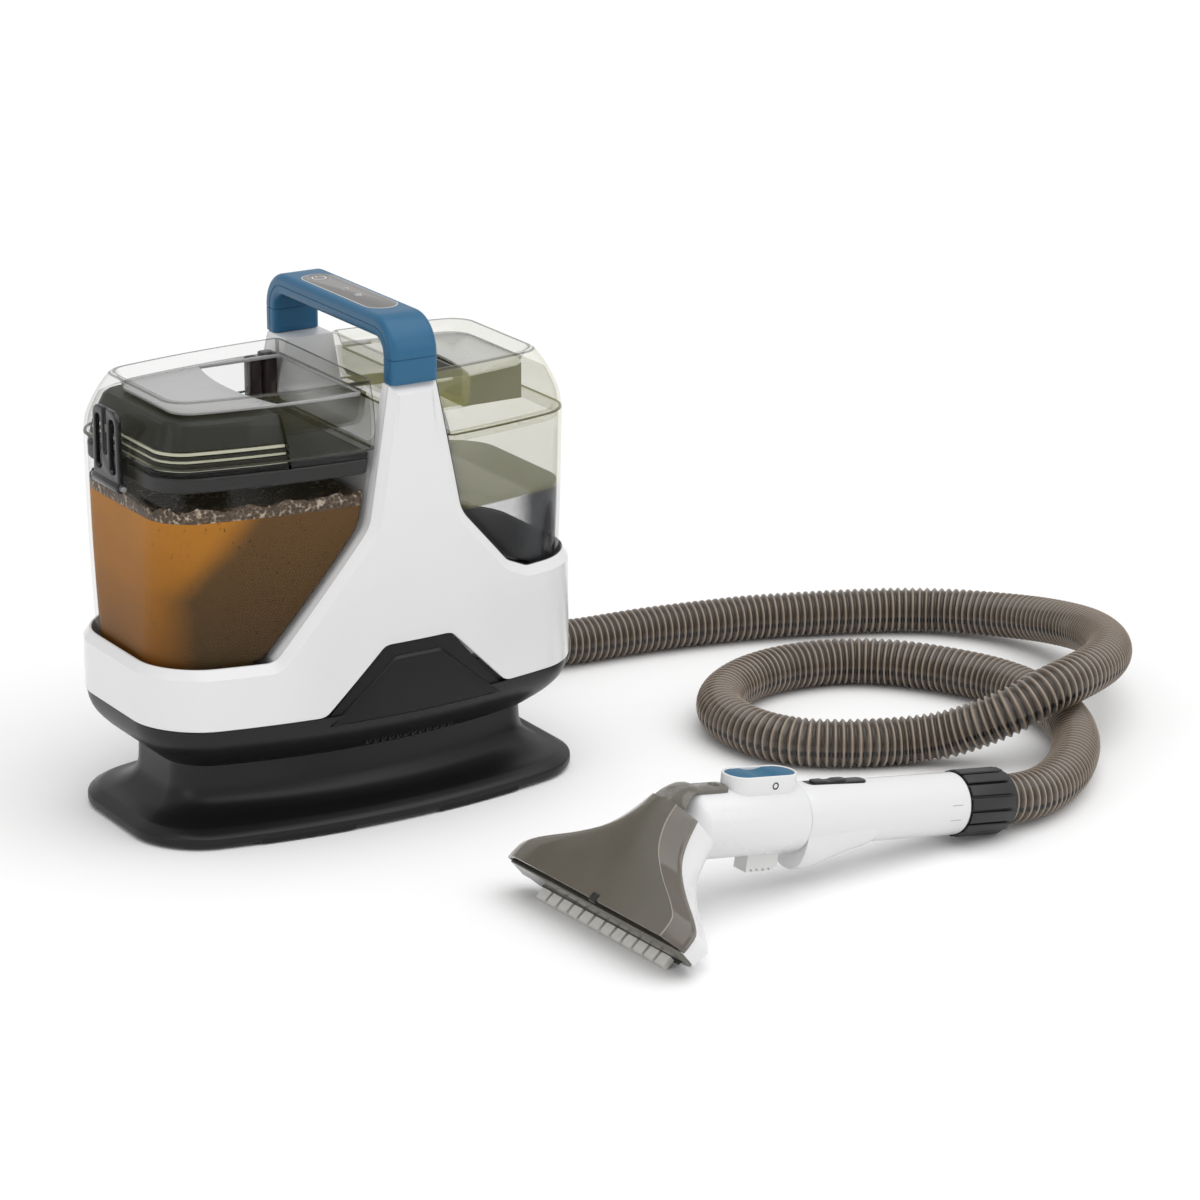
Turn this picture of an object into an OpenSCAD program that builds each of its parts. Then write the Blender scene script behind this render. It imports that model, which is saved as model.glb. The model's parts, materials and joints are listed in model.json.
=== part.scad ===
// Portable carpet spot cleaner: a two-tank machine on a foot, with a hose and a hand tool.
// X runs along the long side, with the clean tank at +X. Y runs from the front (-Y) to the
// back. Z is up, and the origin is on the floor, under the middle of the foot.

/* [Shell] */
// Length of the white shell
shell_l = 346; // [300:1:400]
// Width of the white shell at its middle
shell_w = 203.8; // [180:0.1:240]
// How far the long sides bow out
side_bow = 26.8; // [5:0.1:40]
// Corner radius of the shell
shell_r = 41; // [20:1:60]
// Wall of the shell beside the tanks
shell_wall = 6; // [4:0.5:8]
// Height of the shell's lower edge
band_z = 88; // [80:1:100]
// Height of the ring round the dirty tank
ring_left_h = 44; // [30:1:60]
// Height of the ring round the clean tank
ring_right_h = 80; // [60:1:95]

/* [Column] */
// Place of the column along X
column_x = 21.4; // [0:0.1:40]
// Width of the column under the handle
column_top_w = 38; // [30:1:50]
// Half width of the column at its shoulder
column_mid_half = 39; // [30:1:50]
// Length of the dirty tank's bay, from the shell's end to the column
left_bay = 81.4; // [60:0.1:110]
// Length of the clean tank's bay
right_bay = 57.6; // [45:0.1:90]
// Height of the shoulder
shoulder_z = 220; // [200:1:240]
// Top of the column, and of the lids
column_top_z = 317.8; // [300:0.1:340]
// Height of the saddle between the two columns
saddle_z = 276; // [250:1:290]
// Depth of the front leg above the saddle
front_leg_d = 13; // [10:0.5:20]
// Depth of the rear leg above the saddle
rear_leg_d = 33; // [20:1:40]

/* [Foot] */
// Length of the foot
foot_l = 350; // [300:1:400]
// How much the foot is drawn in from the shell, front and back
foot_draw = 1.3; // [0:0.1:5]
// Height of the foot's rim
foot_rim_h = 13.8; // [8:0.1:20]
// How far the neck stands in from the foot's edge
neck_inset = 34; // [25:1:45]
// Height of the neck's top
neck_z = 50; // [46:1:60]
// Thickness of the rubber feet
pad_t = 1.5; // [1:0.1:3]
// Thickness of the steel plate in the foot
base_plate_t = 3; // [2:0.5:5]
// Wall of the black mouldings
black_wall = 3; // [2:0.5:4]

/* [Black panel] */
// Top of the panel
panel_z = 134; // [120:1:150]
// Half width of the panel at its top
panel_top_half = 27; // [15:1:40]
// Half width of the panel at its foot
panel_foot_half = 74; // [60:1:90]
// Number of vent holes
vent_count = 12; // [4:1:16]
// Distance between vent holes
vent_pitch = 5.4; // [4:0.1:7]

/* [Tanks] */
// Wall of the tanks and lids
tank_wall = 2.5; // [2:0.1:4]
// Gap between the tanks and what they stand against
tank_gap = 1.2; // [0.8:0.1:3]
// Height of the seam between tank and lid
seam_z = 274.7; // [260:0.1:290]
// Height of the dirty water
dirty_level = 236; // [160:1:250]
// Height of the clean water
clean_level = 220; // [140:1:250]
// Depth of the shallow recess in the lids
lid_recess = 10; // [5:0.5:15]
// Inner end of the dirty lid's plate, from the column's middle
dirty_plate_x = 90; // [60:1:120]
// Inner end of the clean lid's plate, from the column's middle
clean_plate_x = 63; // [50:1:90]

/* [Handle] */
// Width of the handle
handle_w = 37; // [28:1:45]
// How far the handle rises over the column's top
handle_rise = 46; // [36:0.5:60]
// Outer radius of the handle's corners
handle_r = 27; // [15:1:35]
// Thickness of the grip
grip_t = 16; // [12:1:22]
// Height of the sockets that the legs stand in
socket_h = 18; // [10:1:30]
// Length of the control panel
control_l = 114; // [80:1:120]
// Width of the control panel
control_w = 24; // [18:1:28]
// Radius of the power button
button_r = 8; // [6:0.5:10]

/* [Motor and pump] */
// Radius of the fan housing
fan_case_r = 60; // [50:1:64]
// Radius of the impeller
impeller_r = 52; // [40:1:54]
// Radius of the motor shaft
shaft_r = 4; // [3:0.5:6]
// Radius of the motor
motor_r = 44; // [35:1:46]
// Radius of the pump
pump_r = 17; // [12:1:20]

/* [Hose] */
// Outer diameter of the hose
hose_d = 36; // [30:1:40]
// Wall of the hose
hose_wall = 1.6; // [1:0.1:3]
// Outer diameter of the solution tube in the hose
tube_d = 6; // [4:0.5:8]
// Height of the hose port's middle
port_z = 100; // [92:1:110]

/* [Hand tool] */
// Half width of the nozzle's mouth
mouth_half = 101; // [80:1:110]
// Height of the nozzle's lip
lip_z = 22; // [15:1:30]
// Slope of the nozzle's face
face_tilt = 39.6; // [30:0.1:50]
// Depth of the nozzle's body behind the face
nozzle_d = 27; // [20:1:30]
// Rise of the clear cover above the face
cover_h = 12; // [6:1:16]
// Wall of the clear cover
cover_wall = 2; // [1.5:0.1:3]
// Radius of the wand
wand_r = 22; // [18:0.5:25]
// Slope of the wand
wand_tilt = 8.3; // [5:0.1:12]
// Length of the wand from its seam to the cuff
wand_l = 143; // [120:1:170]
// Length of the cuff
cuff_l = 43; // [30:1:60]
// Number of brush tufts
tuft_count = 12; // [8:1:16]
// Distance between tufts
tuft_pitch = 12.6; // [10:0.1:14]
// Radius of the small pivot pins
pin_r = 2; // [1.5:0.1:3]

/* [Hidden] */
$fn = 48;
eps = 0.01;
fit = 0.3;           // clearance between pieces that lift off or move
running = 0.08;      // radial clearance of pins and shafts in their bores
big = 600;           // length of a cut that passes right through
corner_steps = 6;
side_steps = 8;

// Heights
deck_t = 4;
wall_top_z = band_z + 20;
deck_z = wall_top_z + deck_t;
ring_left_z = band_z + ring_left_h;
ring_right_z = band_z + ring_right_h;
tank_z = deck_z + fit;
lid_z = seam_z + fit;
handle_z = column_top_z + handle_rise;
plate_z = column_top_z - lid_recess;
scoop_z = seam_z + 10;
floor_z = neck_z + black_wall;

// Half sizes
half_l = shell_l / 2;
half_w = shell_w / 2;
foot_half_l = foot_l / 2;
foot_half_w = half_w - foot_draw;
neck_r = 20;

// Outline of the tanks: [z, inset from the shell, bow, corner radius]
tank_secs = [
    [tank_z, 14, side_bow, 28], [tank_z + 5, 9.5, side_bow, 34],
    [tank_z + 30, 7.8, side_bow, 35], [tank_z + 88, 7.6, side_bow - 2, 31],
    [seam_z, 8.8, side_bow - 4.4, 25]];
// Outline of the lids, from the seam to the rim
lid_secs = [
    [lid_z, 9, side_bow - 4.4, 25], [seam_z + 12, 10.4, side_bow - 5, 24],
    [seam_z + 24, 15, side_bow - 6, 21], [seam_z + 34, 20.5, side_bow - 8, 18],
    [column_top_z, 27, side_bow - 10, 15]];
lid_side_shrink = 3.6;   // the lids draw in this much more at the front and back

// Hose route, from the elbow to the cuff
elbow_r = 21;
elbow_reach = 35;
elbow_out = 36.1;    // from the shell's back to the elbow's turn
port_x = 17;
port_y = half_w;
hose_route = [
    [52, 138, 100], [80, 138, 98], [110, 139, 90], [140, 140, 75], [170, 141, 56],
    [200, 141, 39], [235, 140, 25], [284, 137, 18.5], [356, 131, 18.3], [432, 117, 18.3],
    [475, 103, 18.3], [516, 87, 18.3], [555, 68, 18.3], [588, 41, 19], [612, 2, 22],
    [621, -42, 28], [616, -92, 36], [598, -138, 44], [575, -175, 50], [549, -202, 54],
    [521, -221, 56.5], [494, -233, 57], [468, -238, 54], [444, -235, 45], [424, -223, 34],
    [402, -205, 23], [376, -189, 18.3], [344, -176, 18.3], [312, -154, 18.3],
    [296, -128, 18.3], [291, -98, 18.3], [296, -66, 18.3], [316, -36, 18.3],
    [349, -14, 18.3], [387, -5, 18.3], [426, -9, 18.3], [455, -22, 18.3], [480, -46, 18.3],
    [502, -82, 18.3], [516, -120, 18.3], [518, -163, 18.3], [506, -213, 18.3],
    [482, -257, 18.3], [451, -292, 18.3], [422, -315, 18.5], [396, -329, 19.2],
    [373, -335.4, 20.9], [352.6, -336.6, 23.5]];

// Hand tool frame: it lies on the floor, and its own X points from the mouth to the hose
tool_x = 2;
tool_y = -355;
tool_yaw = 3;
lip_x = 5;
wand_x = 167;
wand_z = 50.4;
barrel_l = 84;
barrel_r = 24.5;
cuff_r = 21.5;
cuff_ribs = 14;
nozzle_swell = 5;    // the body is this much deeper behind the lip
face_l = 84;         // length of the nozzle's face, from the lip to the neck
// Half width of the nozzle along its face: [share of the face's length, half width]
fan = [[0, mouth_half], [0.17, mouth_half - 2], [0.31, 82], [0.49, 56], [0.58, 46],
       [0.66, 39.5], [0.76, 34], [0.88, 29.5], [1, 26]];

// ---------------------------------------------------------------- outlines and lofts

// One rounded corner of an outline whose long sides bow out
function corner(hx, hy, bow, r, quarter) =
    let (sx = quarter == 0 || quarter == 3 ? 1 : -1, sy = quarter < 2 ? 1 : -1)
    [for (i = [0 : corner_steps])
        let (a = 90 * (quarter + i / corner_steps), x = sx * (hx - r) + r * cos(a))
        [x, sy * (hy - bow - r) + r * sin(a) + sy * bow * (1 - pow(x / hx, 2))]];

// The bowed side between two corners
function bowed_side(hx, hy, bow, r, dir) =
    [for (j = [1 : side_steps - 1])
        let (x = dir * (hx - r) * (1 - 2 * j / side_steps))
        [x, dir * (hy - bow * pow(x / hx, 2))]];

function outline(hx, hy, bow, r) = concat(
    corner(hx, hy, bow, r, 0), bowed_side(hx, hy, bow, r, 1),
    corner(hx, hy, bow, r, 1), corner(hx, hy, bow, r, 2),
    bowed_side(hx, hy, bow, r, -1), corner(hx, hy, bow, r, 3));

// Skin between rings of equal numbers of points
module skin(rings) {
    n = len(rings[0]);
    last = len(rings) - 1;
    polyhedron(
        points = [for (ring = rings) each ring],
        faces = concat(
            [[for (i = [0 : n - 1]) i]],
            [[for (i = [n - 1 : -1 : 0]) last * n + i]],
            [for (k = [0 : last - 1], i = [0 : n - 1])
                let (j = (i + 1) % n, a = k * n, b = a + n)
                each [[a + i, b + i, b + j], [a + i, b + j, a + j]]]));
}

// Loft through sections [z, half length, half width, bow, corner radius]
module loft(secs) {
    skin([for (s = secs) [for (p = outline(s[1], s[2], s[3], s[4])) [p[0], p[1], s[0]]]]);
}

// The shell's outline drawn in by d, as one loft section
function shell_sec(z, d, bow = side_bow, r = shell_r, side = 0) =
    [z, half_l - d, half_w - d - side, bow, max(r, 3)];

// A prism along Y with the given outline in X and Z
module through_y(y0 = -big / 2, y1 = big / 2) {
    translate([0, y1, 0]) rotate([90, 0, 0]) linear_extrude(y1 - y0) children();
}

module rounded_rect(l, w, r) {
    offset(r = r) square([l - 2 * r, w - 2 * r], center = true);
}

// ---------------------------------------------------------------- column and tank shapes

// Front view of the column, flaring into the ring
module column_face(grow = 0) {
    left_x = -half_l + left_bay;
    right_x = half_l - right_bay;
    offset(delta = grow) offset(r = -8) offset(delta = 8) polygon([
        [column_x - column_top_w / 2, column_top_z + 1],
        [column_x - column_mid_half, shoulder_z],
        [left_x + 6, ring_left_z + 4],
        [left_x, ring_left_z],
        [left_x, 0],
        [right_x, 0],
        [right_x, ring_right_z],
        [right_x - 18, ring_right_z + 8],
        [column_x + column_mid_half - 3, shoulder_z],
        [column_x + column_top_w / 2, column_top_z + 1]]);
}

module shell_face() {
    offset(r = -8) offset(delta = 8) {
        column_face();
        translate([-big / 2, 0]) square([big / 2 + column_x, ring_left_z]);
        translate([column_x, 0]) square([big / 2, ring_right_z]);
    }
}

// Front view of the black panel's cut in the shell, and of the panel when drawn in
module panel_face(grow = 0, z0 = 0) {
    offset(delta = grow) offset(r = 6) offset(delta = -6) offset(r = -6) offset(delta = 6)
        polygon([
            [column_x - 3 - panel_foot_half - 60, z0], [column_x - 3 - panel_foot_half - 60, band_z],
            [column_x - 3 - panel_foot_half, band_z], [column_x - 3 - panel_top_half, panel_z],
            [column_x - 3 + panel_top_half, panel_z], [column_x - 3 + panel_foot_half, band_z],
            [column_x - 3 + panel_foot_half + 60, band_z], [column_x - 3 + panel_foot_half + 60, z0]]);
}

// Sections drawn in by a wall, with their first and last heights moved
function inner_secs(secs, wall, z0, z1) =
    let (last = len(secs) - 1)
    [for (i = [0 : last]) let (s = secs[i])
        [i == 0 ? z0 : i == last ? z1 : s[0], s[1] + wall, s[2], s[3] - wall]];

module tank_loft(secs, squeeze = 0) {
    last = len(secs) - 1;
    loft([for (i = [0 : last]) let (s = secs[i])
        shell_sec(s[0], s[1], s[2], s[3], squeeze * i / last)]);
}

// Keeps one side of the machine, outside the column: side -1 is the dirty tank's
module beside_column(side, grow) {
    difference() {
        intersection() {
            children();
            translate([side < 0 ? column_x - big : column_x, -big / 2, 0]) cube([big, big, big]);
        }
        through_y() column_face(grow);
    }
}

module tank(side) {
    beside_column(side, tank_gap) tank_loft(tank_secs);
}

module tank_room(side) {
    beside_column(side, tank_gap + tank_wall)
        tank_loft(inner_secs(tank_secs, tank_wall, tank_z + tank_wall, seam_z + 1));
}

// What fills a tank from its floor up to a level
module water(side, level) {
    intersection() {
        beside_column(side, tank_gap + tank_wall + 0.05)
            tank_loft(inner_secs(tank_secs, tank_wall + 0.05, tank_z + tank_wall, seam_z));
        translate([-big / 2, -big / 2, 0]) cube([big, big, level]);
    }
}

// A lid: a clear hood with a shallow plate and a deep scoop for the fingers beside the column
module lid(side, plate_x) {
    plate_end = column_x + side * plate_x;
    scoop_in = column_x + side * (column_top_w / 2 + tank_gap + 2 * tank_wall);
    scoop_y = half_w - 42;
    scoop = [min(scoop_in, plate_end), max(scoop_in, plate_end)];
    difference() {
        beside_column(side, tank_gap) tank_loft(lid_secs, lid_side_shrink);
        // shallow recess over the plate
        beside_column(side, tank_gap + 2 * tank_wall)
            loft([shell_sec(plate_z, 27, side_bow - 10, 12, lid_side_shrink + 3),
                  shell_sec(column_top_z + 1, 27 + 2.5, side_bow - 10, 12, lid_side_shrink)]);
        // finger scoop
        translate([scoop[0], -scoop_y, scoop_z]) cube([scoop[1] - scoop[0], 2 * scoop_y, 99]);
        // room under the lid, round the scoop
        difference() {
            beside_column(side, tank_gap + tank_wall)
                tank_loft(inner_secs(lid_secs, tank_wall, lid_z - 1, plate_z - tank_wall),
                    lid_side_shrink);
            translate([scoop[0] - tank_wall, -scoop_y - tank_wall, scoop_z - tank_wall])
                cube([scoop[1] - scoop[0] + 2 * tank_wall, 2 * (scoop_y + tank_wall), 99]);
        }
    }
}

// ---------------------------------------------------------------- foot

foot_secs = [
    [pad_t, 1.5, 0, 40], [pad_t + 1.5, 0, 0, 41.3], [pad_t + 7, 0, 0, 41.3],
    [foot_rim_h, 7.6, 0, 34], [foot_rim_h + 2, 15, 0, 28], [foot_rim_h + 5, 23, 0, 24],
    [foot_rim_h + 10, 30, 0.5, 22], [foot_rim_h + 18, neck_inset - 2, 1, 21],
    [foot_rim_h + 29, neck_inset - 0.5, 1.5, neck_r], [neck_z, neck_inset, 1.8, neck_r]];

function foot_sec(z, d, less_bow, r) =
    [z, foot_half_l - d, foot_half_w - d, side_bow - less_bow, max(r, 3)];

post_places = [[-110, -38], [110, -38], [-110, 38], [110, 38]];

module at_posts() {
    for (p = post_places) translate([p[0], p[1], 0]) children();
}

module foot() {
    color("#1d1d1e") difference() {
        union() {
            difference() {
                loft([for (s = foot_secs) foot_sec(s[0], s[1], s[2], s[3])]);
                loft([for (i = [0 : len(foot_secs) - 1]) let (s = foot_secs[i])
                    foot_sec(i == 0 ? 0 : s[0] - (i < 3 ? 0 : 3), s[1] + black_wall + 1,
                        s[2], s[3] - black_wall)]);
            }
            at_posts() translate([0, 0, pad_t + base_plate_t]) cylinder(r = 6, h = neck_z - 20);
            translate([0, 0, neck_z - 5])
                loft([for (z = [0, 5]) foot_sec(z, neck_inset + 2, 1.8, neck_r)]);
            at_posts() translate([0, 0, neck_z - 25]) cylinder(r = 6, h = 21);
        }
        at_posts() cylinder(r = 1.6, h = 25);
    }
}

module base_plate() {
    color("#4a4c4e") difference() {
        translate([0, 0, pad_t]) loft([for (z = [0, base_plate_t])
            foot_sec(z, 1.5 + black_wall + 1 + fit, 0, 36)]);
        at_posts() cylinder(r = 2.2, h = 20);
    }
}

module rubber_feet() {
    pad_r = 12;
    pad_inset = [40, 45.6];    // from the foot's end and side to a pad's middle
    pad_x = foot_half_l - pad_inset[0];
    pad_y = foot_half_w - pad_inset[1];
    color("#101010") {
        cylinder(r = pad_r + 4, h = pad_t);
        for (x = [-pad_x, pad_x], y = [-pad_y, pad_y]) translate([x, y, 0]) cylinder(r = pad_r, h = pad_t);
    }
}

module base_screws() {
    color("#b9bcc0") at_posts() {
        translate([0, 0, pad_t - 1]) cylinder(r = 3, h = 1);
        translate([0, 0, pad_t - 0.5]) cylinder(r = 1.6 - 0.05, h = 18);
    }
}

// ---------------------------------------------------------------- black housing

// Outside of the black belly: [z, inset from the shell, bow, corner radius]
belly_secs = [
    [neck_z, 32, 25, 22], [neck_z + 1.5, 29, 25.3, 24], [neck_z + 7, 22, 25.9, 28],
    [neck_z + 14.5, 13, 26.4, 33], [neck_z + 23, 5.5, side_bow, 37],
    [neck_z + 30.5, 2, side_bow, 39.5], [band_z - fit, 0.6, side_bow, 40.6]];
// Room inside it
belly_room = [
    [floor_z, 37, 24, 18], [neck_z + 8, 26, 25.5, 24], [neck_z + 15.5, 17, 26.2, 29],
    [neck_z + 24, 9.5, side_bow, 33], [band_z - 5, 7.5, side_bow, 34],
    [wall_top_z + eps, 7.5, side_bow, 34]];
// Raised middle of the panel
raised_secs = [
    [neck_z + 14.5, 11.8, 26.4, 34], [neck_z + 23, 4.3, side_bow, 38],
    [neck_z + 30.5, 1, side_bow, 40], [band_z, 0.5, side_bow, 40.6], [panel_z, 1, side_bow, 40]];

module lower_housing() {
    color("#1f1f20") difference() {
        union() {
            difference() {
                union() {
                    loft([for (s = belly_secs) shell_sec(s[0], s[1], s[2], s[3])]);
                    // wall that stands inside the shell
                    loft([for (z = [band_z - 5, wall_top_z])
                        shell_sec(z, 4 + fit, side_bow, 36.7)]);
                    // panel that fills the shell's cut, front and back
                    intersection() {
                        loft([for (z = [band_z - 5, panel_z]) shell_sec(z, 3, side_bow, 38)]);
                        through_y() panel_face(-fit - 0.1);
                    }
                    intersection() {
                        loft([for (s = raised_secs) shell_sec(s[0], s[1], s[2], s[3])]);
                        through_y() panel_face(-12, neck_z + 10);
                    }
                }
                loft([for (s = belly_room) shell_sec(s[0], s[1], s[2], s[3])]);
                loft([for (z = [wall_top_z, panel_z + 1]) shell_sec(z, shell_wall, side_bow, 35)]);
            }
            at_posts() translate([0, 0, floor_z - 1]) cylinder(r = 5, h = wall_top_z - floor_z + 1);
        }
        // vents
        for (i = [0 : vent_count - 1])
            translate([column_x + (i - (vent_count - 1) / 2) * vent_pitch, 0, neck_z + 8.5])
                rotate([90, 0, 0]) cylinder(r = 1.4, h = big, center = true, $fn = 16);
        // screw holes up from the foot and down from the deck
        at_posts() translate([0, 0, wall_top_z - 14]) cylinder(r = 1.6, h = 15);
        // hose port and cord gland
        translate([port_x, 0, port_z]) rotate([-90, 0, 0]) cylinder(r = elbow_r + 2, h = big);
        translate([-60, 0, port_z]) rotate([-90, 0, 0]) cylinder(r = 7, h = big);
    }
}

module deck() {
    color("#2b2c2e") difference() {
        loft([for (z = [wall_top_z, deck_z]) shell_sec(z, shell_wall + fit, side_bow, 34)]);
        translate([motor_x, 0, 0]) cylinder(r = motor_r + 3, h = 200);
        translate([valve_x, 0, 0]) cylinder(r = dock_r, h = 200);
        at_posts() cylinder(r = 2, h = 200);
    }
}

module deck_screws() {
    color("#b9bcc0") at_posts() {
        translate([0, 0, wall_top_z - 12]) cylinder(r = 1.6 - 0.05, h = 12 + deck_t);
    }
}

// ---------------------------------------------------------------- white shell and tower

column_lean = [[band_z, 0], [shoulder_z - 40, 0], [shoulder_z, 0.3], [shoulder_z + 30, 2.2],
    [shoulder_z + 70, 4.9], [column_top_z, 6.7]];

module upper_shell() {
    color("#ececec") difference() {
        intersection() {
            loft([for (s = column_lean) shell_sec(s[0], 0, side_bow, shell_r, s[1])]);
            through_y() shell_face();
        }
        loft([for (z = [band_z - 1, wall_top_z]) shell_sec(z, 4, side_bow, shell_r - 4)]);
        loft([for (s = column_lean)
            shell_sec(s[0] == column_top_z ? s[0] + 1 : s[0], shell_wall, side_bow,
                shell_r - shell_wall, s[1])]);
        through_y() panel_face();
        translate([-60, 0, port_z]) rotate([-90, 0, 0]) cylinder(r = 7, h = big);
        translate([port_x, 0, port_z]) rotate([-90, 0, 0]) cylinder(r = elbow_r + 2, h = big);
    }
}

// Tower between the tanks, with the motor in it and two legs that carry the handle
module centre_tower() {
    y_front = half_w - 6.7 - shell_wall - fit;
    color("#e4e4e4") difference() {
        intersection() {
            loft([for (s = column_lean) shell_sec(s[0] == band_z ? deck_z : s[0], shell_wall + fit,
                side_bow, shell_r - shell_wall, s[1])]);
            through_y() column_face(-fit);
        }
        // room for the motor
        intersection() {
            loft([for (s = column_lean) shell_sec(
                s[0] == band_z ? deck_z - 1 : min(s[0], saddle_z - black_wall + s[0] / 1000),
                shell_wall + fit + black_wall, side_bow, 32, s[1])]);
            through_y() column_face(-fit - black_wall);
        }
        // open saddle between the legs
        translate([-big / 2, -y_front + front_leg_d - shell_wall, saddle_z])
            cube([big, 2 * y_front - front_leg_d + shell_wall - rear_leg_d + shell_wall, 99]);
    }
}

// ---------------------------------------------------------------- handle

handle_half = half_w - 6.2;

module handle_path(inset = 0) {
    offset(r = handle_r - inset) offset(delta = -handle_r)
        translate([-handle_half, column_top_z - 60])
            square([2 * handle_half, handle_z - column_top_z + 60]);
}

// The handle's side view, less what its inner curve leaves open
module handle_face() {
    inner_half = handle_half - grip_t + 1;
    intersection() {
        difference() {
            handle_path();
            offset(r = 15) offset(delta = -15) translate([-inner_half, column_top_z - 60])
                square([2 * inner_half, handle_z - grip_t - column_top_z + 60]);
        }
        translate([-big / 2, column_top_z + eps]) square([big, 99]);
    }
}

module across_x(w) {
    translate([column_x - w / 2, 0, 0]) rotate([90, 0, 90]) linear_extrude(w) children();
}

socket_z = column_top_z + socket_h;
board_z = handle_z - grip_t + 4;
skin_t = 2.2;

module handle_room() {
    translate([column_x, 0, board_z - 1.6])
        linear_extrude(handle_z - skin_t - board_z + 1.6)
            rounded_rect(control_w + 1, control_l + 6, 8);
}

module handle_sockets() {
    color("#33698c") across_x(handle_w) intersection() {
        handle_face();
        translate([-big / 2, 0]) square([big, socket_z - fit / 2]);
    }
}

module handle_grip() {
    color("#35708f") difference() {
        across_x(handle_w) intersection() {
            difference() {
                handle_face();
                translate([0, 0]) difference() {
                    translate([-big / 2, 0]) square([big, big]);
                    handle_path(8.5);
                }
            }
            translate([-big / 2, socket_z]) square([big, 99]);
        }
        handle_room();
    }
}

module handle_cover() {
    color("#3b7a9b") difference() {
        across_x(handle_w) intersection() {
            difference() {
                handle_face();
                handle_path(8.5);
            }
            translate([-big / 2, socket_z]) square([big, 99]);
        }
        handle_room();
        translate([column_x, 0, handle_z - 1.2]) linear_extrude(9)
            rounded_rect(control_w + 0.1, control_l + 0.1, control_w / 2 - 0.1);
        translate([column_x, button_y, 0]) cylinder(r = button_r + fit, h = big);
        translate([column_x, lens_y, 0]) cylinder(r = 2.2, h = big, $fn = 24);
    }
}

button_y = control_l / 2 - 12;
lens_y = -control_l / 2 + 17;
button_travel = 1;

module control_panel() {
    color("#6f6a66") difference() {
        translate([column_x, 0, handle_z - 1.2]) linear_extrude(1.5)
            rounded_rect(control_w, control_l, control_w / 2 - 0.1);
        translate([column_x, button_y, 0]) cylinder(r = button_r + fit, h = big);
        translate([column_x, lens_y, 0]) cylinder(r = 2.2, h = big, $fn = 24);
    }
}

module control_board() {
    color("#1f5c3a") difference() {
        translate([column_x, 0, board_z]) linear_extrude(1.6)
            rounded_rect(control_w, control_l + 4, 7);
        for (y = [-1, 1]) translate([column_x, y * (control_l / 2 - 3), 0]) cylinder(r = 1.3, h = big);
    }
    color("#1f5c3a") for (y = [-1, 1])
        translate([column_x, y * (control_l / 2 - 3), board_z - 1.6]) cylinder(r = 3, h = 1.6);
}

module power_switch() {
    color("#2a2a2a") translate([column_x, button_y, board_z + 1.6]) {
        translate([-3, -3, 0]) cube([6, 6, 3]);
        cylinder(r = 1.7, h = 4);
    }
}

module power_button() {
    stem_z = board_z + 1.6 + 4 + button_travel + fit;
    color("#77726e") translate([column_x, button_y, 0]) {
        translate([0, 0, handle_z - 2]) cylinder(r = button_r, h = 2.3);
        translate([0, 0, handle_z - skin_t - 1.2]) cylinder(r = button_r, h = 2);
        translate([0, 0, stem_z]) cylinder(r = 2.5, h = handle_z - 2 - stem_z);
    }
}

module indicator_lens() {
    color("#f5f3ee") translate([column_x, lens_y, board_z + 1.6])
        cylinder(r = 2.1, h = handle_z + 0.3 - board_z - 1.6, $fn = 24);
}

// ---------------------------------------------------------------- motor, fan and pump

motor_x = 8;
fan_z = floor_z + 7;
fan_case_h = 32;
fan_wall = 3;
motor_z = fan_z + fan_case_h;
motor_h = 66;

module fan_case() {
    color("#3a3c3e") translate([motor_x, 0, fan_z]) difference() {
        cylinder(r = fan_case_r, h = fan_case_h, $fn = 72);
        translate([0, 0, fan_wall]) cylinder(r = impeller_r + 3, h = fan_case_h - 2 * fan_wall, $fn = 72);
        translate([0, 0, -1]) cylinder(r = 20, h = fan_wall + 2);
        cylinder(r = shaft_r + running, h = 99);
    }
}

module impeller() {
    plate_t = 2;
    blade_h = 12;
    hub_z = fan_wall + 4;
    color("#b8bcc0") translate([motor_x, 0, fan_z + hub_z]) {
        cylinder(r = impeller_r, h = plate_t, $fn = 72);
        for (i = [0 : 7]) rotate([0, 0, i * 45]) translate([14, -1, plate_t - eps])
            rotate([0, 0, 25]) cube([32, 2, blade_h]);
        cylinder(r = 12, h = plate_t + blade_h);
        cylinder(r = shaft_r, h = motor_z - fan_z - hub_z + 20);
    }
}

module vacuum_motor() {
    color("#84888c") translate([motor_x, 0, motor_z]) difference() {
        union() {
            cylinder(r = motor_r, h = motor_h);
            translate([0, 0, motor_h]) cylinder(r = 18, h = 8);
        }
        translate([0, 0, -1]) cylinder(r = shaft_r + running, h = 22);
    }
}

module motor_ring() {
    color("#141414") translate([motor_x, 0, floor_z]) difference() {
        cylinder(r = fan_case_r - 6, h = fan_z - floor_z, $fn = 72);
        translate([0, 0, -1]) cylinder(r = fan_case_r - 16, h = 20, $fn = 72);
    }
}

valve_x = half_l - 40;
dock_r = 12;
pump_z = floor_z + pump_r + 3;

pump_x = valve_x - 8;

module pump() {
    color("#2e3032") translate([pump_x, 0, 0]) {
        translate([0, 30, pump_z]) rotate([90, 0, 0]) cylinder(r = pump_r, h = 60);
        translate([-10, -18, floor_z]) cube([20, 36, 8]);
    }
}

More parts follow.
